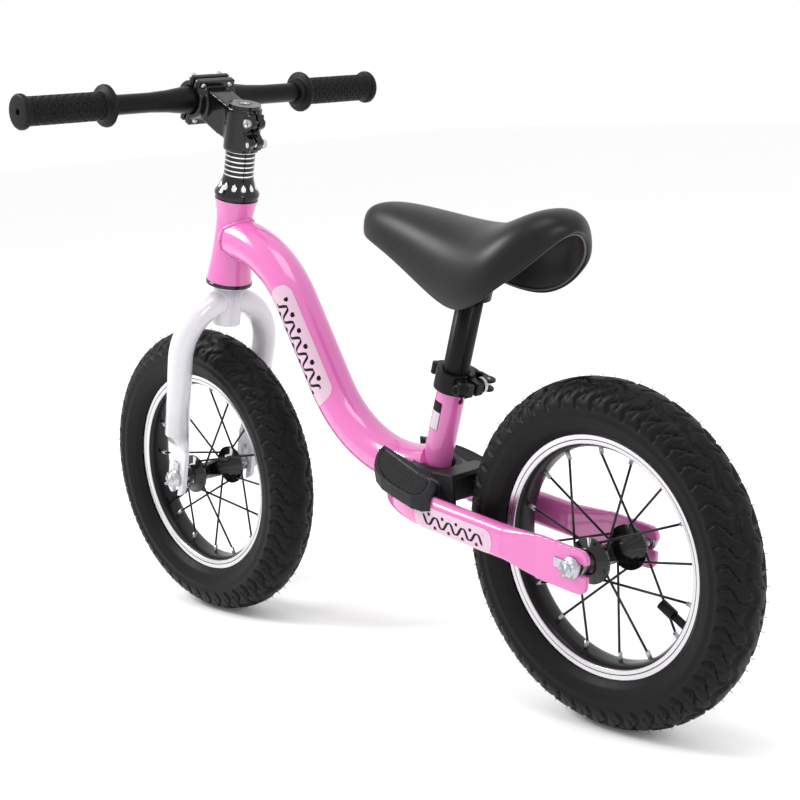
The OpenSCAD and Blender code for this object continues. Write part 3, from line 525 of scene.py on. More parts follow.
@dataclass
class Wheel:
    """A tyre with its tread and a rim with machined walls. Sizes in millimetres, angles in degrees.

    Angles across the tyre are measured from its crown. Each moulded line on its sidewalls is an angle, the
    half widths in degrees of its top and foot, and its height.
    """

    end: str
    x: float
    axle_height: float = 152.0
    tyre_radius: float = 152.0
    tyre_half: float = 27.0
    tread: Tread = Tread()
    tread_edge: float = 84.0
    shoulder: float = 78.0
    fade_from: float = 76.0
    skin: float = 0.15
    sidewall_from: float = 80
    sidewall_drop: float = 1.3
    sidewall_lines: tuple = ((97, 0.8, 2.2, 0.8), (124, 0.8, 2.0, 0.5))
    bead: float = 141.0
    across: int = 66
    around: int = 792
    vent_count: int = 72
    vent_rows: tuple = (-62.0, -24.0, 24.0, 62.0)
    rim_radius: float = 108.0
    rim_half: float = 15.0
    rim_steps: int = 160

    def placed(self, bm: bmesh.types.BMesh) -> bmesh.types.BMesh:
        """Moves a shape made round the origin to the wheel's axle."""
        bmesh.ops.translate(bm, verts=bm.verts, vec=(self.x * MM, 0, self.axle_height * MM))
        return bm

    def section(self, mid: float) -> list[tuple[float, float]]:
        """The tyre's section before its tread is pressed in, with its beads in the rim.

        Args:
            mid: Radius of the circle through the section's middle.

        Returns:
            Points (radius, y) from bead to bead.
        """
        rim = self.rim_radius
        foot = [(rim - 6, -10.5), (rim + 0.4, -13.6), (rim + 3.5, -17.2)]
        arc = []
        for i in range(self.across + 1):
            a = math.radians(-self.bead + 2 * self.bead * i / self.across)
            turn = abs(math.degrees(a))
            radius = self.tyre_half - self.skin
            radius -= self.sidewall_drop * smoothstep(self.sidewall_from, self.tread_edge, turn)
            for place, top, base, height in self.sidewall_lines:
                radius += height * (1 - smoothstep(top, base, abs(turn - place)))
            arc.append((mid + radius * math.cos(a), radius * math.sin(a)))
        return foot + arc + [(r, -y) for r, y in reversed(foot)]

    def tyre(self) -> bpy.types.Object:
        """The tyre: a spun section whose tread is pressed in afterwards.

        Returns:
            The new object.
        """
        mid = self.tyre_radius - self.tyre_half
        bm = lathe(self.section(mid), self.around)
        for vert in bm.verts:
            r = math.hypot(vert.co.x, vert.co.z)
            out = Vector((vert.co.x / r * (r - mid * MM), vert.co.y, vert.co.z / r * (r - mid * MM)))
            turn = math.degrees(math.atan2(out.y, math.hypot(out.x, out.z) * (1 if r > mid * MM else -1)))
            if abs(turn) < self.tread_edge:
                u = math.atan2(vert.co.z, vert.co.x) / math.tau * self.tread.repeats
                fade = 1 - smoothstep(self.fade_from, self.tread_edge, abs(turn))
                vert.co -= out.normalized() * self.tread.depth(u, turn / self.shoulder) * fade * MM
        self.vents(bm, mid)
        return finish_mesh(
            self.placed(bm), f"{self.end}_tyre_treaded", f"{self.end}_wheel", (Paint.TYRE_RUBBER,),
            "tyre_rubber", (f"{self.end}_tyre",), sharp=50.0,
        )

    def vents(self, bm: bmesh.types.BMesh, mid: float) -> None:
        """Adds the short rubber whiskers that the mould's vents leave, but none where the tyre stands.

        Args:
            bm: The tyre, round the origin.
            mid: Radius of the circle through its section's middle.
        """
        length, foot, tip, lift = 3.4, 0.32, 0.2, 1.0
        facing_down, at_foot = -0.3, -0.97
        for i in range(self.vent_count):
            for row, tilt in enumerate(self.vent_rows):
                a = math.tau * (i + 0.25 * row) / self.vent_count
                t = math.radians(tilt)
                out = Vector((math.cos(a) * math.cos(t), math.sin(t), math.sin(a) * math.cos(t)))
                if out.z < facing_down and math.sin(a) < at_foot:
                    continue
                centre = Vector((math.cos(a) * mid, 0, math.sin(a) * mid)) + out * (self.tyre_half + lift)
                turn = out.to_track_quat("Z", "Y").to_matrix().to_4x4()
                bmesh.ops.create_cone(
                    bm, cap_ends=True, segments=4, radius1=foot * MM, radius2=tip * MM, depth=length * MM,
                    matrix=Matrix.Translation(centre * MM) @ turn,
                )

    def rim(self) -> bpy.types.Object:
        """The rim, with a fine dark line turned in each bright wall and a black barrel.

        Returns:
            The new object.
        """
        r, h = self.rim_radius, self.rim_half
        wall = [
            (r - 14.8, 3.0), (r - 14.4, 8.0), (r - 12.6, 11.6), (r - 11.2, 13.2), (r - 10.6, 13.9),
            (r - 7.6, h - 0.5), (r - 7.4, h - 0.9), (r - 6.9, h - 0.9), (r - 6.7, h - 0.4), (r - 3.0, h - 0.05),
            (r - 0.6, h), (r - 0.1, h - 0.4), (r, h - 0.9), (r - 0.1, h - 1.8), (r - 3, h - 2.2),
            (r - 8.5, h - 3.6), (r - 11.5, 7),
        ]
        line_inner, line_outer, line_depth, barrel, well = r - 7.45, r - 6.85, 1.2, r - 11.0, 10.0
        bm = lathe(wall + [(a, -b) for a, b in reversed(wall)], self.rim_steps)
        for face in bm.faces:
            c = face.calc_center_median()
            radius = math.hypot(c.x, c.z) / MM
            line = line_inner < radius < line_outer and abs(c.y) > (h - line_depth) * MM
            if radius < barrel or line or abs(c.y) < well * MM:
                face.material_index = 1
        return finish_mesh(
            self.placed(bm), f"{self.end}_rim_machined", f"{self.end}_wheel",
            (Paint.MACHINED_RIM, Paint.ANODISED_BLACK), "polished_rim", (f"{self.end}_rim",), sharp=28.0,
        )

    def build(self) -> None:
        """Makes the wheel's own pieces."""
        self.tyre()
        self.rim()


# ------------------------------------------------------------------ bar and head


@dataclass
class SteeringAxis:
    """The steering axis, with places along it measured up from the front axle, in millimetres."""

    axle: Vector = field(default_factory=lambda: Vector((275.0, 0.0, 152.0)))
    angle: float = 75.0

    def matrix(self) -> Matrix:
        """Takes the axis's own frame, X forwards and Z up it, to the bike's frame, in metres."""
        turn = Matrix.Rotation(math.radians(self.angle - 90), 4, "Y")
        return Matrix.Translation(self.axle * MM) @ turn


@dataclass
class Grip:
    """A moulded grip with a brick pattern, a wide inner flange and a rounded end. Millimetres.

    A brick's joints are parts of its own length and height.
    """

    side: int
    bar_reach: float = 60.5
    bar_s: float = 388.0
    inner: float = 114.0
    flange: float = 120.0
    end: float = 219.0
    radius: float = 13.5
    bore: float = 9.9
    end_hole: float = 3.0
    rings: int = 96
    steps: int = 120
    brick: float = 4.4
    bricks_round: int = 11
    joint_across: float = 0.13
    joint_along: float = 0.07
    raised: float = 0.45
    sunk: float = -0.35

    def outline(self) -> list[tuple[float, float]]:
        """The section from the inner lip to the end hole.

        Returns:
            Points (radius, distance from the bike's middle).
        """
        r, inner, flange, end = self.radius, self.inner, self.flange, self.end
        lip = [(self.bore, inner), (r, inner + 0.4), (r + 0.8, inner + 1.4), (r + 0.8, flange - 1)]
        disc = [
            (r + 2.2, flange - 0.2), (19.4, flange), (20.6, flange + 1.0), (20.8, flange + 2.6),
            (20.2, flange + 4.4), (18.8, flange + 5.4), (r + 2.2, flange + 6.0), (r + 0.2, flange + 7.6),
        ]
        low, high = flange + 8.5, end - 8.5
        barrel = [(r, low + (high - low) * i / self.rings) for i in range(self.rings + 1)]
        knob = [
            (r + 0.4, end - 7.4), (r + 1.6, end - 6.4), (16.6, end - 5.6), (17.0, end - 4.4), (16.9, end - 1.8),
            (16.0, end - 0.5), (14.4, end), (self.end_hole + 0.2, end), (self.end_hole, end - 0.4),
            (self.end_hole, end - 2.9), (self.bore, end - 2.9),
        ]
        return lip + disc + barrel + knob

    def build(self, axis: SteeringAxis) -> bpy.types.Object:
        """Spins the outline and raises the bricks.

        Args:
            axis: The steering axis, which carries the bar.

        Returns:
            The new object.
        """
        bm = lathe(self.outline(), self.steps)
        low, high = self.flange + 9.5, self.end - 9.5
        for vert in bm.verts:
            y = vert.co.y / MM
            r = math.hypot(vert.co.x, vert.co.z)
            if low < y < high and abs(r / MM - self.radius) < 0.01:
                row = (y - low) / self.brick
                a = math.atan2(vert.co.z, vert.co.x) / math.tau * self.bricks_round + 0.5 * (int(row) % 2)
                clear = min(row % 1, 1 - row % 1) > self.joint_across and min(a % 1, 1 - a % 1) > self.joint_along
                scale = 1 + (self.raised if clear else self.sunk) / self.radius
                vert.co.x *= scale
                vert.co.z *= scale
        if self.side < 0:
            bmesh.ops.scale(bm, vec=(1, -1, 1), verts=bm.verts)
        place = Matrix.Translation(Vector((self.bar_reach, 0, self.bar_s)) * MM)
        bmesh.ops.transform(bm, matrix=axis.matrix() @ place, verts=bm.verts)
        word = "left" if self.side > 0 else "right"
        return finish_mesh(
            bm, f"grip_{word}_moulded", "fork", (Paint.GRIP_RUBBER,), "grip_rubber", (f"grip_{word}",), sharp=40.0,
        )


@dataclass
class ConeInlays:
    """The bright teardrop inlays round the headset cone. Millimetres and degrees."""

    count: int = 12
    radius: float = 18.2
    s: float = 315.5
    lean: float = -23.0
    half_width: float = 2.6
    half_height: float = 4.2
    half_depth: float = 0.55
    taper: float = 0.75
    first: float = 0.35

    def build(self, axis: SteeringAxis) -> bpy.types.Object:
        """Makes one mesh with every inlay.

        Args:
            axis: The steering axis, which the cone stands on.

        Returns:
            The new object.
        """
        bm = bmesh.new()
        for i in range(self.count):
            made = bmesh.ops.create_uvsphere(bm, u_segments=14, v_segments=10, radius=1.0)["verts"]
            for vert in made:
                taper = 1 - self.taper * max(vert.co.z, 0.0)
                vert.co.x *= self.half_width * MM * taper
                vert.co.y *= self.half_depth * MM
                vert.co.z *= self.half_height * MM
            lean = Matrix.Rotation(math.radians(self.lean), 3, "X")
            bmesh.ops.rotate(bm, verts=made, cent=(0, 0, 0), matrix=lean)
            bmesh.ops.translate(bm, verts=made, vec=(0, -self.radius * MM, self.s * MM))
            turn = Matrix.Rotation(math.tau * (i + self.first) / self.count, 3, "Z")
            bmesh.ops.rotate(bm, verts=made, cent=(0, 0, 0), matrix=turn)
        bmesh.ops.transform(bm, matrix=axis.matrix(), verts=bm.verts)
        return finish_mesh(bm, "cone_inlays", "fork", (Paint.POLISHED,), "zinc_steel")


# ------------------------------------------------------------------ frame details


@dataclass
class MainTube:
    """The centreline of the main tube in the bike's middle plane. Millimetres and degrees."""

    low: Vector = field(default_factory=lambda: Vector((-41.3, 198.0)))
    radius: float = 21.0
    low_bend: float = 126.0
    top_bend: float = 115.0
    straight: float = 92.4
    angle: float = 61.0

    def centre(self, s: float) -> tuple[Vector, float]:
        """The centre and slope at a distance along the tube.

        Args:
            s: Distance from the start of the straight; negative runs back round the low bend.

        Returns:
            The centre as (x, z) and the slope in degrees.
        """
        a = math.radians(self.angle)
        start = self.low + self.low_bend * Vector((math.sin(a), 1 - math.cos(a)))
        if s < 0:
            turn = a + s / self.low_bend
            return self.low + self.low_bend * Vector((math.sin(turn), 1 - math.cos(turn))), math.degrees(turn)
        along = Vector((math.cos(a), math.sin(a)))
        if s < self.straight:
            return start + along * s, self.angle
        top = start + along * self.straight
        turn = a - (s - self.straight) / self.top_bend
        step = self.top_bend * Vector((math.sin(a) - math.sin(turn), math.cos(turn) - math.cos(a)))
        return top + step, math.degrees(turn)

    def on_surface(self, s: float, around: float, lift: float) -> Vector:
        """A point on the tube, in metres.

        Args:
            s: Distance along the tube.
            around: Angle from the rider's left towards the tube's upper side, in degrees.
            lift: Height above the surface in millimetres.

        Returns:
            The point in the bike's frame.
        """
        centre, slope = self.centre(s)
        a, t = math.radians(around), math.radians(slope)
        r = self.radius + lift
        up = r * math.sin(a)
        return Vector((centre.x - up * math.sin(t), r * math.cos(a), centre.y + up * math.cos(t))) * MM


@dataclass
class Stickers:
    """The plain pale stickers and the small label. Millimetres and degrees."""

    tube: MainTube = field(default_factory=MainTube)
    lift: float = 0.25
    print_lift: float = 0.08

    def sticker(self, name: str, surface: Callable[[float, float], Vector], columns: int) -> bpy.types.Object:
        """Lays one pale sticker.

        Args:
            name: The piece's name.
            surface: Its surface, for a along it and b across it.
            columns: Cells along it.

        Returns:
            The new object.
        """
        return finish_mesh(
            sheet_on(surface, columns, 18), name, "frame", (Paint.PALE_VINYL,), "pink_gloss_paint", outward=False,
        )

    def main(self) -> bpy.types.Object:
        """The long sticker along the rider's left of the main tube.

        Returns:
            The new object.
        """
        low, high, half_turn, lean = -16.0, 108.0, 46.0, 2
        half_width, corner, width = 16.8, 13.0, 33.7
        middle, half = (low + high) / 2, (high - low) / 2

        def spine(a: float) -> Vector:
            """The tube's centre beside a place along the sticker."""
            centre, _ = self.tube.centre(middle + a * half)
            return Vector((centre.x, 0, centre.y)) * MM

        def surface(a: float, b: float) -> Vector:
            """The sticker's point for a along it and b across it."""
            wide = round_end(a, half, half_width, corner)
            return self.tube.on_surface(middle + a * half, lean + b * half_turn * wide, self.lift)

        def printed(a: float, b: float) -> Vector:
            """The print's point, just outside the sticker's."""
            point = surface(a, b)
            return point + (point - spine(a)).normalized() * self.print_lift * MM

        self.motif("main_tube_print", printed, 2 * half, width)
        return self.sticker("main_tube_sticker", surface, 60)

    def stay(self) -> bpy.types.Object:
        """The sticker on the outer side of the left stay.

        Returns:
            The new object.
        """
        slope = math.radians(7.5)
        low, high, half_height, drop, corner = 88.0, 183.0, 11.5, -3.0, 10.0
        straight, bend, outer, flat, round_r = 170.0, 126.0, 43.5, 7.5, 8.0
        foot_x, foot_z = -275, 149.2

        def surface(a: float, b: float) -> Vector:
            """The sticker's point.

            Args:
                a: Place along the stay, from -1 to 1.
                b: Place up it, from -1 to 1.

            Returns:
                The point in metres.
            """
            x = (low + high) / 2 + a * (high - low) / 2
            q = drop + b * half_height * round_end(a, (high - low) / 2, half_height, corner)
            t = max(abs(q) - flat, 0.0) / round_r
            z = math.copysign(min(abs(q), flat) + (round_r + self.lift) * math.sin(t), q)
            y = outer + (round_r + self.lift) * math.cos(t)
            if x > straight:
                turn = (x - straight) / bend
                reach = bend + y - outer
                x, y = straight + reach * math.sin(turn), outer - bend + reach * math.cos(turn)
            gx = foot_x + x * math.cos(slope) - z * math.sin(slope)
            gz = foot_z + x * math.sin(slope) + z * math.cos(slope)
            return Vector((gx, y, gz)) * MM

        def printed(a: float, b: float) -> Vector:
            """The print's point, just outside the sticker's."""
            return surface(a, b) + Vector((0, self.print_lift, 0)) * MM

        self.motif("left_stay_print", printed, high - low, 2 * half_height)
        return self.sticker("left_stay_sticker", surface, 50)

    def label(self) -> bpy.types.Object:
        """The small black and white label on the seat tube, with a thin black edge.

        Returns:
            The new object.
        """
        seat_foot, seat_angle, seat_radius = Vector((-68.5, 0, 195)), 70.7, 13.6
        turn = Matrix.Rotation(math.radians(seat_angle - 90), 4, "Y")
        place = Matrix.Translation(seat_foot * MM) @ turn
        low, high, half_turn, lean = 47.0, 75.0, 24.0, 8.0
        half_length, half_width, corner = 14.0, 5.7, 1.8
        black_from, edge_along, edge_across = 0.3, 0.95, 0.9

        def surface(a: float, b: float) -> Vector:
            """The label's point.

            Args:
                a: Place along the tube, from -1 to 1.
                b: Place round it, from -1 to 1.

            Returns:
                The point in metres.
            """
            wide = round_end(a, half_length, half_width, corner)
            angle = math.radians(lean + b * half_turn * wide)
            r = seat_radius + self.lift
            t = (low + high) / 2 + a * (high - low) / 2
            return place @ (Vector((r * math.sin(angle), r * math.cos(angle), t)) * MM)

        bm = bmesh.new()
        bmesh.ops.create_grid(bm, x_segments=56, y_segments=24, size=1.0)
        for face in bm.faces:
            c = face.calc_center_median()
            edge = abs(c.x) > edge_along or abs(c.y) > edge_across
            face.material_index = 1 if c.x > black_from or edge else 0
        for vert in bm.verts:
            vert.co = surface(vert.co.x, vert.co.y)
        return finish_mesh(
            bm, "seat_tube_label", "frame", (Paint.WHITE_VINYL, Paint.BLACK_VINYL), "pink_gloss_paint", outward=False,
        )

    def motif(self, name: str, surface: Callable[[float, float], Vector], length: float, width: float) -> None:
        """Prints a plain wavy ribbon with dots along a sticker.

        Args:
            name: The printed piece's name.
            surface: The print's surface, for a along the sticker and b across it.
            length: The sticker's length in millimetres.
            width: The sticker's width in millimetres.
        """
        wave_length, spot_spacing = 17.0, 8.5
        swing, thickness, least, extra = 0.17, 0.045, 1.3, 0.3
        spot_side, spot_radius, spot_shift = 0.24, 0.075, 0.01
        end, side = 0.78, 0.6
        bm = bmesh.new()
        bmesh.ops.create_grid(bm, x_segments=360, y_segments=110, size=1.0)
        blank = []
        for face in bm.faces:
            c = face.calc_center_median()
            x, y = c.x * length / 2, c.y * width / 2
            wave = swing * width * math.sin(math.tau * x / wave_length)
            half_ribbon = thickness * width * (least + math.cos(math.tau * x / spot_spacing)) + extra
            spot_x = (x + spot_spacing / 2) % spot_spacing - spot_spacing / 2
            above = math.copysign(1, math.sin(math.tau * (x + spot_shift) / wave_length))
            spot_y = y + spot_side * width * above
            dot = math.hypot(spot_x - math.copysign(spot_spacing / 2, spot_x), spot_y) < spot_radius * width
            if not (abs(y - wave) < half_ribbon or dot) or abs(c.x) > end or abs(c.y) > side:
                blank.append(face)
        bmesh.ops.delete(bm, geom=blank, context="FACES")
        for vert in bm.verts:
            vert.co = surface(vert.co.x, vert.co.y)
        finish_mesh(bm, name, "frame", (Paint.BLACK_VINYL,), "pink_gloss_paint", outward=False)

    def build(self) -> None:
        """Makes all three, with their print."""
        self.main()
        self.stay()
        self.label()


@dataclass
class Bead:
    """A round bead along a closed line: a weld with the ripples of its passes, or a plain rim. Millimetres."""

    name: str
    body: str
    paint: Paint
    slot: str
    radius: float = 2.5
    pitch: float = 2.6
    ripple: float = 0.16

    def build(self, points: list[Vector]) -> bpy.types.Object:
        """Sweeps the bead.

        Args:
            points: The line's points in metres.

        Returns:
            The new object.
        """
        curve = bpy.data.curves.new(self.name, "CURVE")
        curve.dimensions = "3D"
        curve.bevel_depth = self.radius * MM
        curve.bevel_resolution = 3
        spline = curve.splines.new("POLY")
        spline.points.add(len(points) - 1)
        spline.use_cyclic_u = True
        run = 0.0
        for i, point in enumerate(points):
            run += (point - points[i - 1]).length / MM if i else 0.0
            spline.points[i].co = (*point, 1)
            spline.points[i].radius = 1 - self.ripple + self.ripple * math.sin(math.tau * run / self.pitch)
        held = bpy.data.objects.new(self.name + "_path", curve)
        bpy.context.scene.collection.objects.link(held)
        mesh = bpy.data.meshes.new_from_object(held.evaluated_get(bpy.context.evaluated_depsgraph_get()))
        bm = bmesh.new()
        bm.from_mesh(mesh)
        bpy.data.objects.remove(held)
        bpy.data.curves.remove(curve)
        bpy.data.meshes.remove(mesh)
        return finish_mesh(bm, self.name, self.body, (self.paint,), self.slot, sharp=70.0)


@dataclass
class HeadTube:
    """The flared head tube, with stations measured along the steering axis. Millimetres."""

    waist: float = 18.2
    waist_s: float = 275
    flare_down: float = 5.0
    flare_up: float = 3.8
    reach_down: float = 60
    reach_up: float = 26

    def radius(self, s: float) -> float:
        """The outer radius at a station."""
        if s < self.waist_s:
            return self.waist + self.flare_down * ((self.waist_s - s) / self.reach_down) ** 1.8
        return self.waist + self.flare_up * ((s - self.waist_s) / self.reach_up) ** 2

    def weld_line(self, tube: MainTube, axis: SteeringAxis) -> list[Vector]:
        """Where the main tube's skin meets the head tube.

        Args:
            tube: The main tube.
            axis: The steering axis, which the head tube is on.

        Returns:
            Points in metres, once round the main tube.
        """
        far_end, near_end, step, behind, count = 300.0, 120, 0.4, -5.0, 240
        inverse = axis.matrix().inverted()
        points = []
        for i in range(count):
            around = 360.0 * i / count
            s = far_end
            while s > near_end:
                local = inverse @ tube.on_surface(s, around, 0.0) / MM
                if local.x < behind and math.hypot(local.x, local.y) > self.radius(local.z):
                    break
                s -= step
            points.append(tube.on_surface(s, around, 0.0))
        return points


# ------------------------------------------------------------------ footrest and saddle


def inside(outline: tuple, x: float, y: float) -> bool:
    """Whether a point lies inside a closed outline.

    Args:
        outline: The outline's corners in order.
        x: The point's x.
        y: The point's y.

    Returns:
        True inside.
    """
    hits = False
    for (x0, y0), (x1, y1) in zip(outline, outline[1:] + outline[:1]):
        if (y0 > y) != (y1 > y) and x < x0 + (x1 - x0) * (y - y0) / (y1 - y0):
            hits = not hits
    return hits


@dataclass
class StudPanel:
    """The studded floor of one wing of the footrest. Millimetres, and rises in millimetres for each millimetre."""

    side: int
    outline: tuple = (
        (-31.5, 27.5), (-33.5, 32.5), (-37.5, 39.0), (-45.0, 46.2), (-53.0, 52.0), (-62.5, 55.8), (-75.0, 56.8),
        (-94.0, 55.8), (-97.6, 53.0), (-99.0, 49.0), (-96.3, 40.0), (-90.2, 30.4), (-78.0, 31.6), (-62.0, 30.6),
    )
    wing_corner: tuple = (-27, 26, 219.5)
    fall_back: float = 0.324
    fall_out: float = 0.21
    floor: float = 2.0
    lift: float = 0.3
    middle: tuple = (-65.5, 42.0)
    half: tuple = (34.5, 16.0)
    cells: tuple = (200, 94)
    pitch: float = 2.7
    stud: float = 0.9
    stud_wall: tuple = (0.2, 0.36)

    def surface(self, a: float, b: float) -> Vector:
        """The panel's point.

        Args:
            a: Place along the bike, from -1 to 1.
            b: Place across it, from -1 to 1.

        Returns:
            The point in metres.
        """
        x, y = self.middle[0] + self.half[0] * a, self.middle[1] + self.half[1] * b
        u, v = (x / self.pitch) % 1, (y / self.pitch + 0.5 * (int(-x / self.pitch) % 2)) % 1
        rise = self.stud * (1 - smoothstep(*self.stud_wall, math.hypot(u - 0.5, v - 0.5)))
        cx, cy, cz = self.wing_corner
        z = cz + self.fall_back * (x - cx) - self.fall_out * (y - cy) - self.floor + self.lift + rise
        return Vector((x, self.side * y, z)) * MM

    def build(self) -> bpy.types.Object:
        """Lays the panel in its wing.

        Returns:
            The new object.
        """
        bm = sheet_on(self.surface, *self.cells)
        outside = []
        for face in bm.faces:
            c = face.calc_center_median() / MM
            if not inside(self.outline, c.x, abs(c.y)):
                outside.append(face)
        bmesh.ops.delete(bm, geom=outside, context="FACES")
        if self.side < 0:
            bmesh.ops.reverse_faces(bm, faces=bm.faces)
        word = "left" if self.side > 0 else "right"
        return finish_mesh(
            bm, f"footrest_studs_{word}", "frame", (Paint.POLYPROPYLENE,), "black_plastic", sharp=80.0,
            outward=False,
        )


@dataclass
class Saddle:
    """The moulded saddle: a crowned skin lofted over stations, with a rolled lip. Millimetres.

    A station is its x, its half width, its crown's height and its lower edge's height.
    """

    stations: tuple = (
        (-2.5, 6.0, 430.0, 416.0), (-5.0, 13.0, 436.5, 413.0), (-12.0, 19.5, 441.0, 411.5),
        (-25.0, 25.5, 443.8, 408.5), (-45.0, 30.5, 443.5, 401.5), (-70.0, 35.5, 440.3, 390.5),
        (-100.0, 42.5, 435.3, 376.5), (-130.0, 50.0, 430.0, 363.5), (-157.0, 57.0, 427.0, 357.0),
        (-178.0, 60.0, 428.5, 361.0), (-196.0, 60.0, 433.5, 370.0), (-212.0, 55.5, 439.0, 381.0),
        (-226.0, 48.0, 442.0, 390.0), (-237.0, 38.0, 441.0, 400.0), (-246.0, 26.0, 436.5, 411.0),
        (-251.5, 13.5, 430.5, 418.5), (-253.5, 5.0, 426.0, 421.5),
    )
    wall: float = 6.0
    rows: int = 14
    side_power: float = 0.85
    crown_power: float = 0.72
    lip_radius: float = 1.2
    lip_inset: float = 5.5
    lip_rise: float = 3.2
    lip_pull: float = 3.0

    def build(self) -> bpy.types.Object:
        """Lofts the skin and thickens it inwards.

        Returns:
            The new object.
        """
        count = len(self.stations)

        def surface(a: float, b: float) -> Vector:
            """The skin's point.

            Args:
                a: Place along the stations, from -1 to 1.
                b: Place across the saddle, from -1 to 1.

            Returns:
                The point in metres.
            """
            x, half, top, low = self.stations[min(count - 1, round((a + 1) / 2 * (count - 1)))]
            t = b * math.pi / 2
            y = half * math.copysign(abs(math.sin(t)) ** self.side_power, t)
            z = low + (top - low) * abs(math.cos(t)) ** self.crown_power
            return Vector((x, y, z)) * MM

        bm = sheet_on(surface, count - 1, self.rows)
        for index in (0, count - 1):
            x = self.stations[index][0] * MM
            ring = [e for e in bm.edges if e.is_boundary and all(abs(v.co.x - x) < SAME_POINT for v in e.verts)]
            bmesh.ops.contextual_create(bm, geom=ring)
        bmesh.ops.recalc_face_normals(bm, faces=bm.faces)
        top_face = max(bm.faces, key=lambda f: f.calc_center_median().z)
        if top_face.normal.z < 0:
            bmesh.ops.reverse_faces(bm, faces=bm.faces)
        obj = finish_mesh(
            bm, "saddle_moulded", "seat", (Paint.SADDLE_SKIN,), "saddle_skin", ("saddle_cover",), sharp=180.0,
            outward=False,
        )
        shell = obj.modifiers.new("wall", "SOLIDIFY")
        shell.thickness = self.wall * MM
        shell.offset = -1
        smooth = obj.modifiers.new("smooth", "SUBSURF")
        smooth.levels = smooth.render_levels = 3
        return obj

    def lip(self) -> bpy.types.Object:
        """The rim of the stiff inner pan, coloured paler than the skin as a painted highlight: the light line along
        its edge inside the open underside.

        Returns:
            The new object.
        """
        tail, nose_from, nose, between, rounds = -200, -60, -5, 8, 40
        ring = []
        for x, half, _, low in self.stations[1:-1]:
            pull = self.lip_pull if x < tail else -self.lip_pull * smoothstep(nose_from, nose, x)
            ring.append(Vector((x + pull, half - self.lip_inset, low + self.lip_rise)))
        ring += [Vector((p.x, -p.y, p.z)) for p in reversed(ring)]
        closed = [p * MM for p in ring]
        fine = []
        for i, point in enumerate(closed):
            following = closed[(i + 1) % len(closed)]
            fine += [point.lerp(following, t / between) for t in range(between)]
        for _ in range(rounds):
            fine = [(fine[i - 1] + fine[i] + fine[(i + 1) % len(fine)]) / 3 for i in range(len(fine))]
        # The bead's pale grey is a painted highlight along the pan's edge, not the pan's own colour
        rim = Bead("saddle_pan_lip_painted_highlight", "seat", Paint.PAN_LIP_PAINTED_HIGHLIGHT, "black_plastic", self.lip_radius, ripple=0.0)
        return rim.build(fine)


# ------------------------------------------------------------------ studio


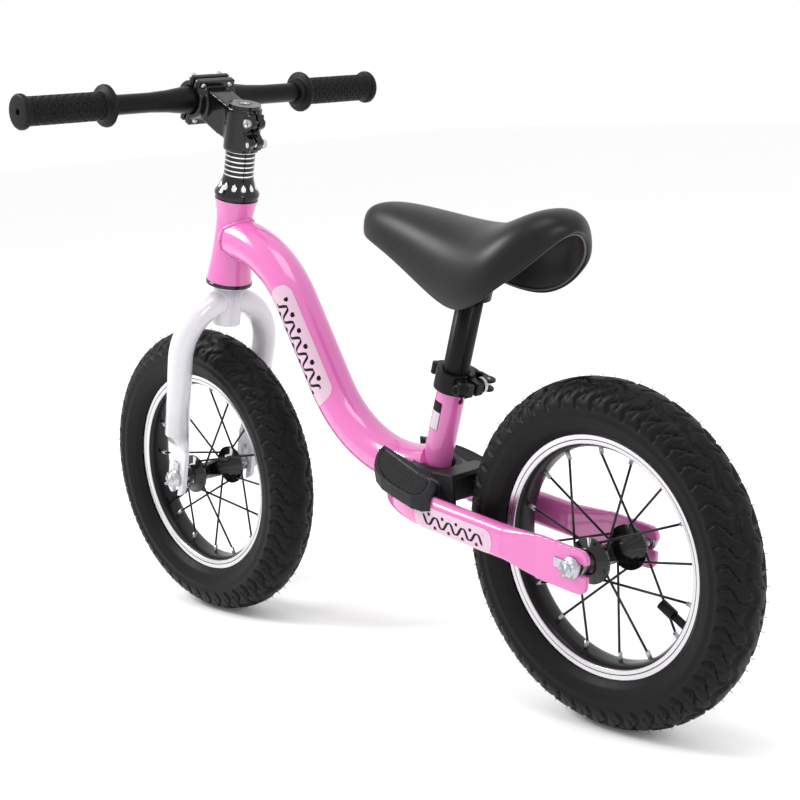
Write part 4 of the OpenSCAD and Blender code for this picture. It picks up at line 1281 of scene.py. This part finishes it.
@dataclass
class Studio:
    """Camera, floor and soft light. Metres, degrees and watts, and millimetres for the lens and its sensor.

    A lamp is its name, place, size and power.
    """

    azimuth: float = -132.73
    elevation: float = 11.11
    roll: float = -3.41
    distance: float = 1.61039
    target: Vector = field(default_factory=lambda: Vector((-0.02695, 0.0, 0.2585)))
    lens: float = 77.72
    sensor: float = 36.0
    clip: tuple = (0.05, 60.0)
    floor_half: float = 9.0
    lamps: tuple = (
        ("overhead", (-0.5, 0.3, 2.2), 1.0, 10),
        ("left_front", (1.35, 1.1, 1.7), 0.7, 33),
        ("rear_left", (-2.2, 0.2, 1.3), 0.6, 9),
    )

    def camera(self) -> None:
        """Sets the camera."""
        a, e, r = (math.radians(v) for v in (self.azimuth, self.elevation, self.roll))
        back = Vector((math.sin(a) * math.cos(e), -math.cos(a) * math.cos(e), math.sin(e)))
        right = (-back).cross(Vector((0, 0, 1))).normalized()
        up = right.cross(-back)
        across, above = right * math.cos(r) + up * math.sin(r), up * math.cos(r) - right * math.sin(r)
        data = bpy.data.cameras.new("camera")
        data.lens, data.sensor_width = self.lens, self.sensor
        data.clip_start, data.clip_end = self.clip
        camera = bpy.data.objects.new("camera", data)
        place = Matrix((across, above, back)).transposed().to_4x4()
        place.translation = self.target + back * self.distance
        camera.matrix_world = place
        bpy.context.scene.collection.objects.link(camera)
        bpy.context.scene.camera = camera

    def lamp(self, name: str, place: tuple, size: float, power: float) -> None:
        """Adds one square soft light that faces the bike.

        Args:
            name: The light's name.
            place: Where it stands.
            size: Its side.
            power: Its power.
        """
        data = bpy.data.lights.new(name, "AREA")
        data.shape, data.size, data.energy = "SQUARE", size, power
        lamp = bpy.data.objects.new(name, data)
        lamp.location = place
        lamp.rotation_euler = (self.target - Vector(place)).to_track_quat("-Z", "Y").to_euler()
        bpy.context.scene.collection.objects.link(lamp)

    def build(self) -> None:
        """Makes the whole studio."""
        self.camera()
        bpy.context.scene.view_settings.view_transform = "Standard"
        world = bpy.data.worlds.new("studio")
        world.use_nodes = True
        sky = world.node_tree.nodes["Background"]
        sky.inputs["Color"].default_value = (1, 1, 1, 1)
        sky.inputs["Strength"].default_value = 1.0
        bpy.context.scene.world = world
        for lamp in self.lamps:
            self.lamp(*lamp)
        bm = bmesh.new()
        bmesh.ops.create_grid(bm, x_segments=1, y_segments=1, size=self.floor_half)
        mesh = bpy.data.meshes.new("floor")
        bm.to_mesh(mesh)
        bm.free()
        mesh.materials.append(dressed(Paint.FLOOR))
        floor = bpy.data.objects.new("floor", mesh)
        bpy.context.scene.collection.objects.link(floor)


def main() -> None:
    """Builds every sub-assembly in order."""
    Studio().build()
    axis, tube = SteeringAxis(), MainTube()
    CadSkins().build()
    for piece in (
        CastPiece("stay_left", "stay_left_formed", Paint.PINK, "pink_gloss_paint", 1.0, 8),
        CastPiece("stay_right", "stay_right_formed", Paint.PINK, "pink_gloss_paint", 1.0, 8),
        CastPiece("stem_body", "stem_forged", Paint.GLOSS_BLACK, "black_gloss_paint", 0.9, 20, ClampEars().drawn_in),
        CastPiece("stem_faceplate", "faceplate_forged", Paint.GLOSS_BLACK, "black_gloss_paint", 0.8, 16),
        CastPiece("footrest", "footrest_moulded", Paint.POLYPROPYLENE, "black_plastic", 1.0, 5),
        CastPiece("seat_collar", "collar_cast", Paint.SATIN_BLACK, "black_satin_paint", 0.7, 4),
        CastPiece("clamp_lever", "lever_cast", Paint.SATIN_BLACK, "black_satin_paint", 0.5, 5),
    ):
        piece.build()
    for wheel in (Wheel("front", 275.0), Wheel("rear", -275.0)):
        wheel.build()
    for side in (1, -1):
        Grip(side).build(axis)
        StudPanel(side).build()
    ConeInlays().build(axis)
    Stickers().build()
    Bead("head_weld", "frame", Paint.PINK, "pink_gloss_paint").build(HeadTube().weld_line(tube, axis))
    saddle = Saddle()
    saddle.build()
    # Adds the pale pan rim, whose colour is a painted highlight
    saddle.lip()


if __name__ == "__main__":
    main()
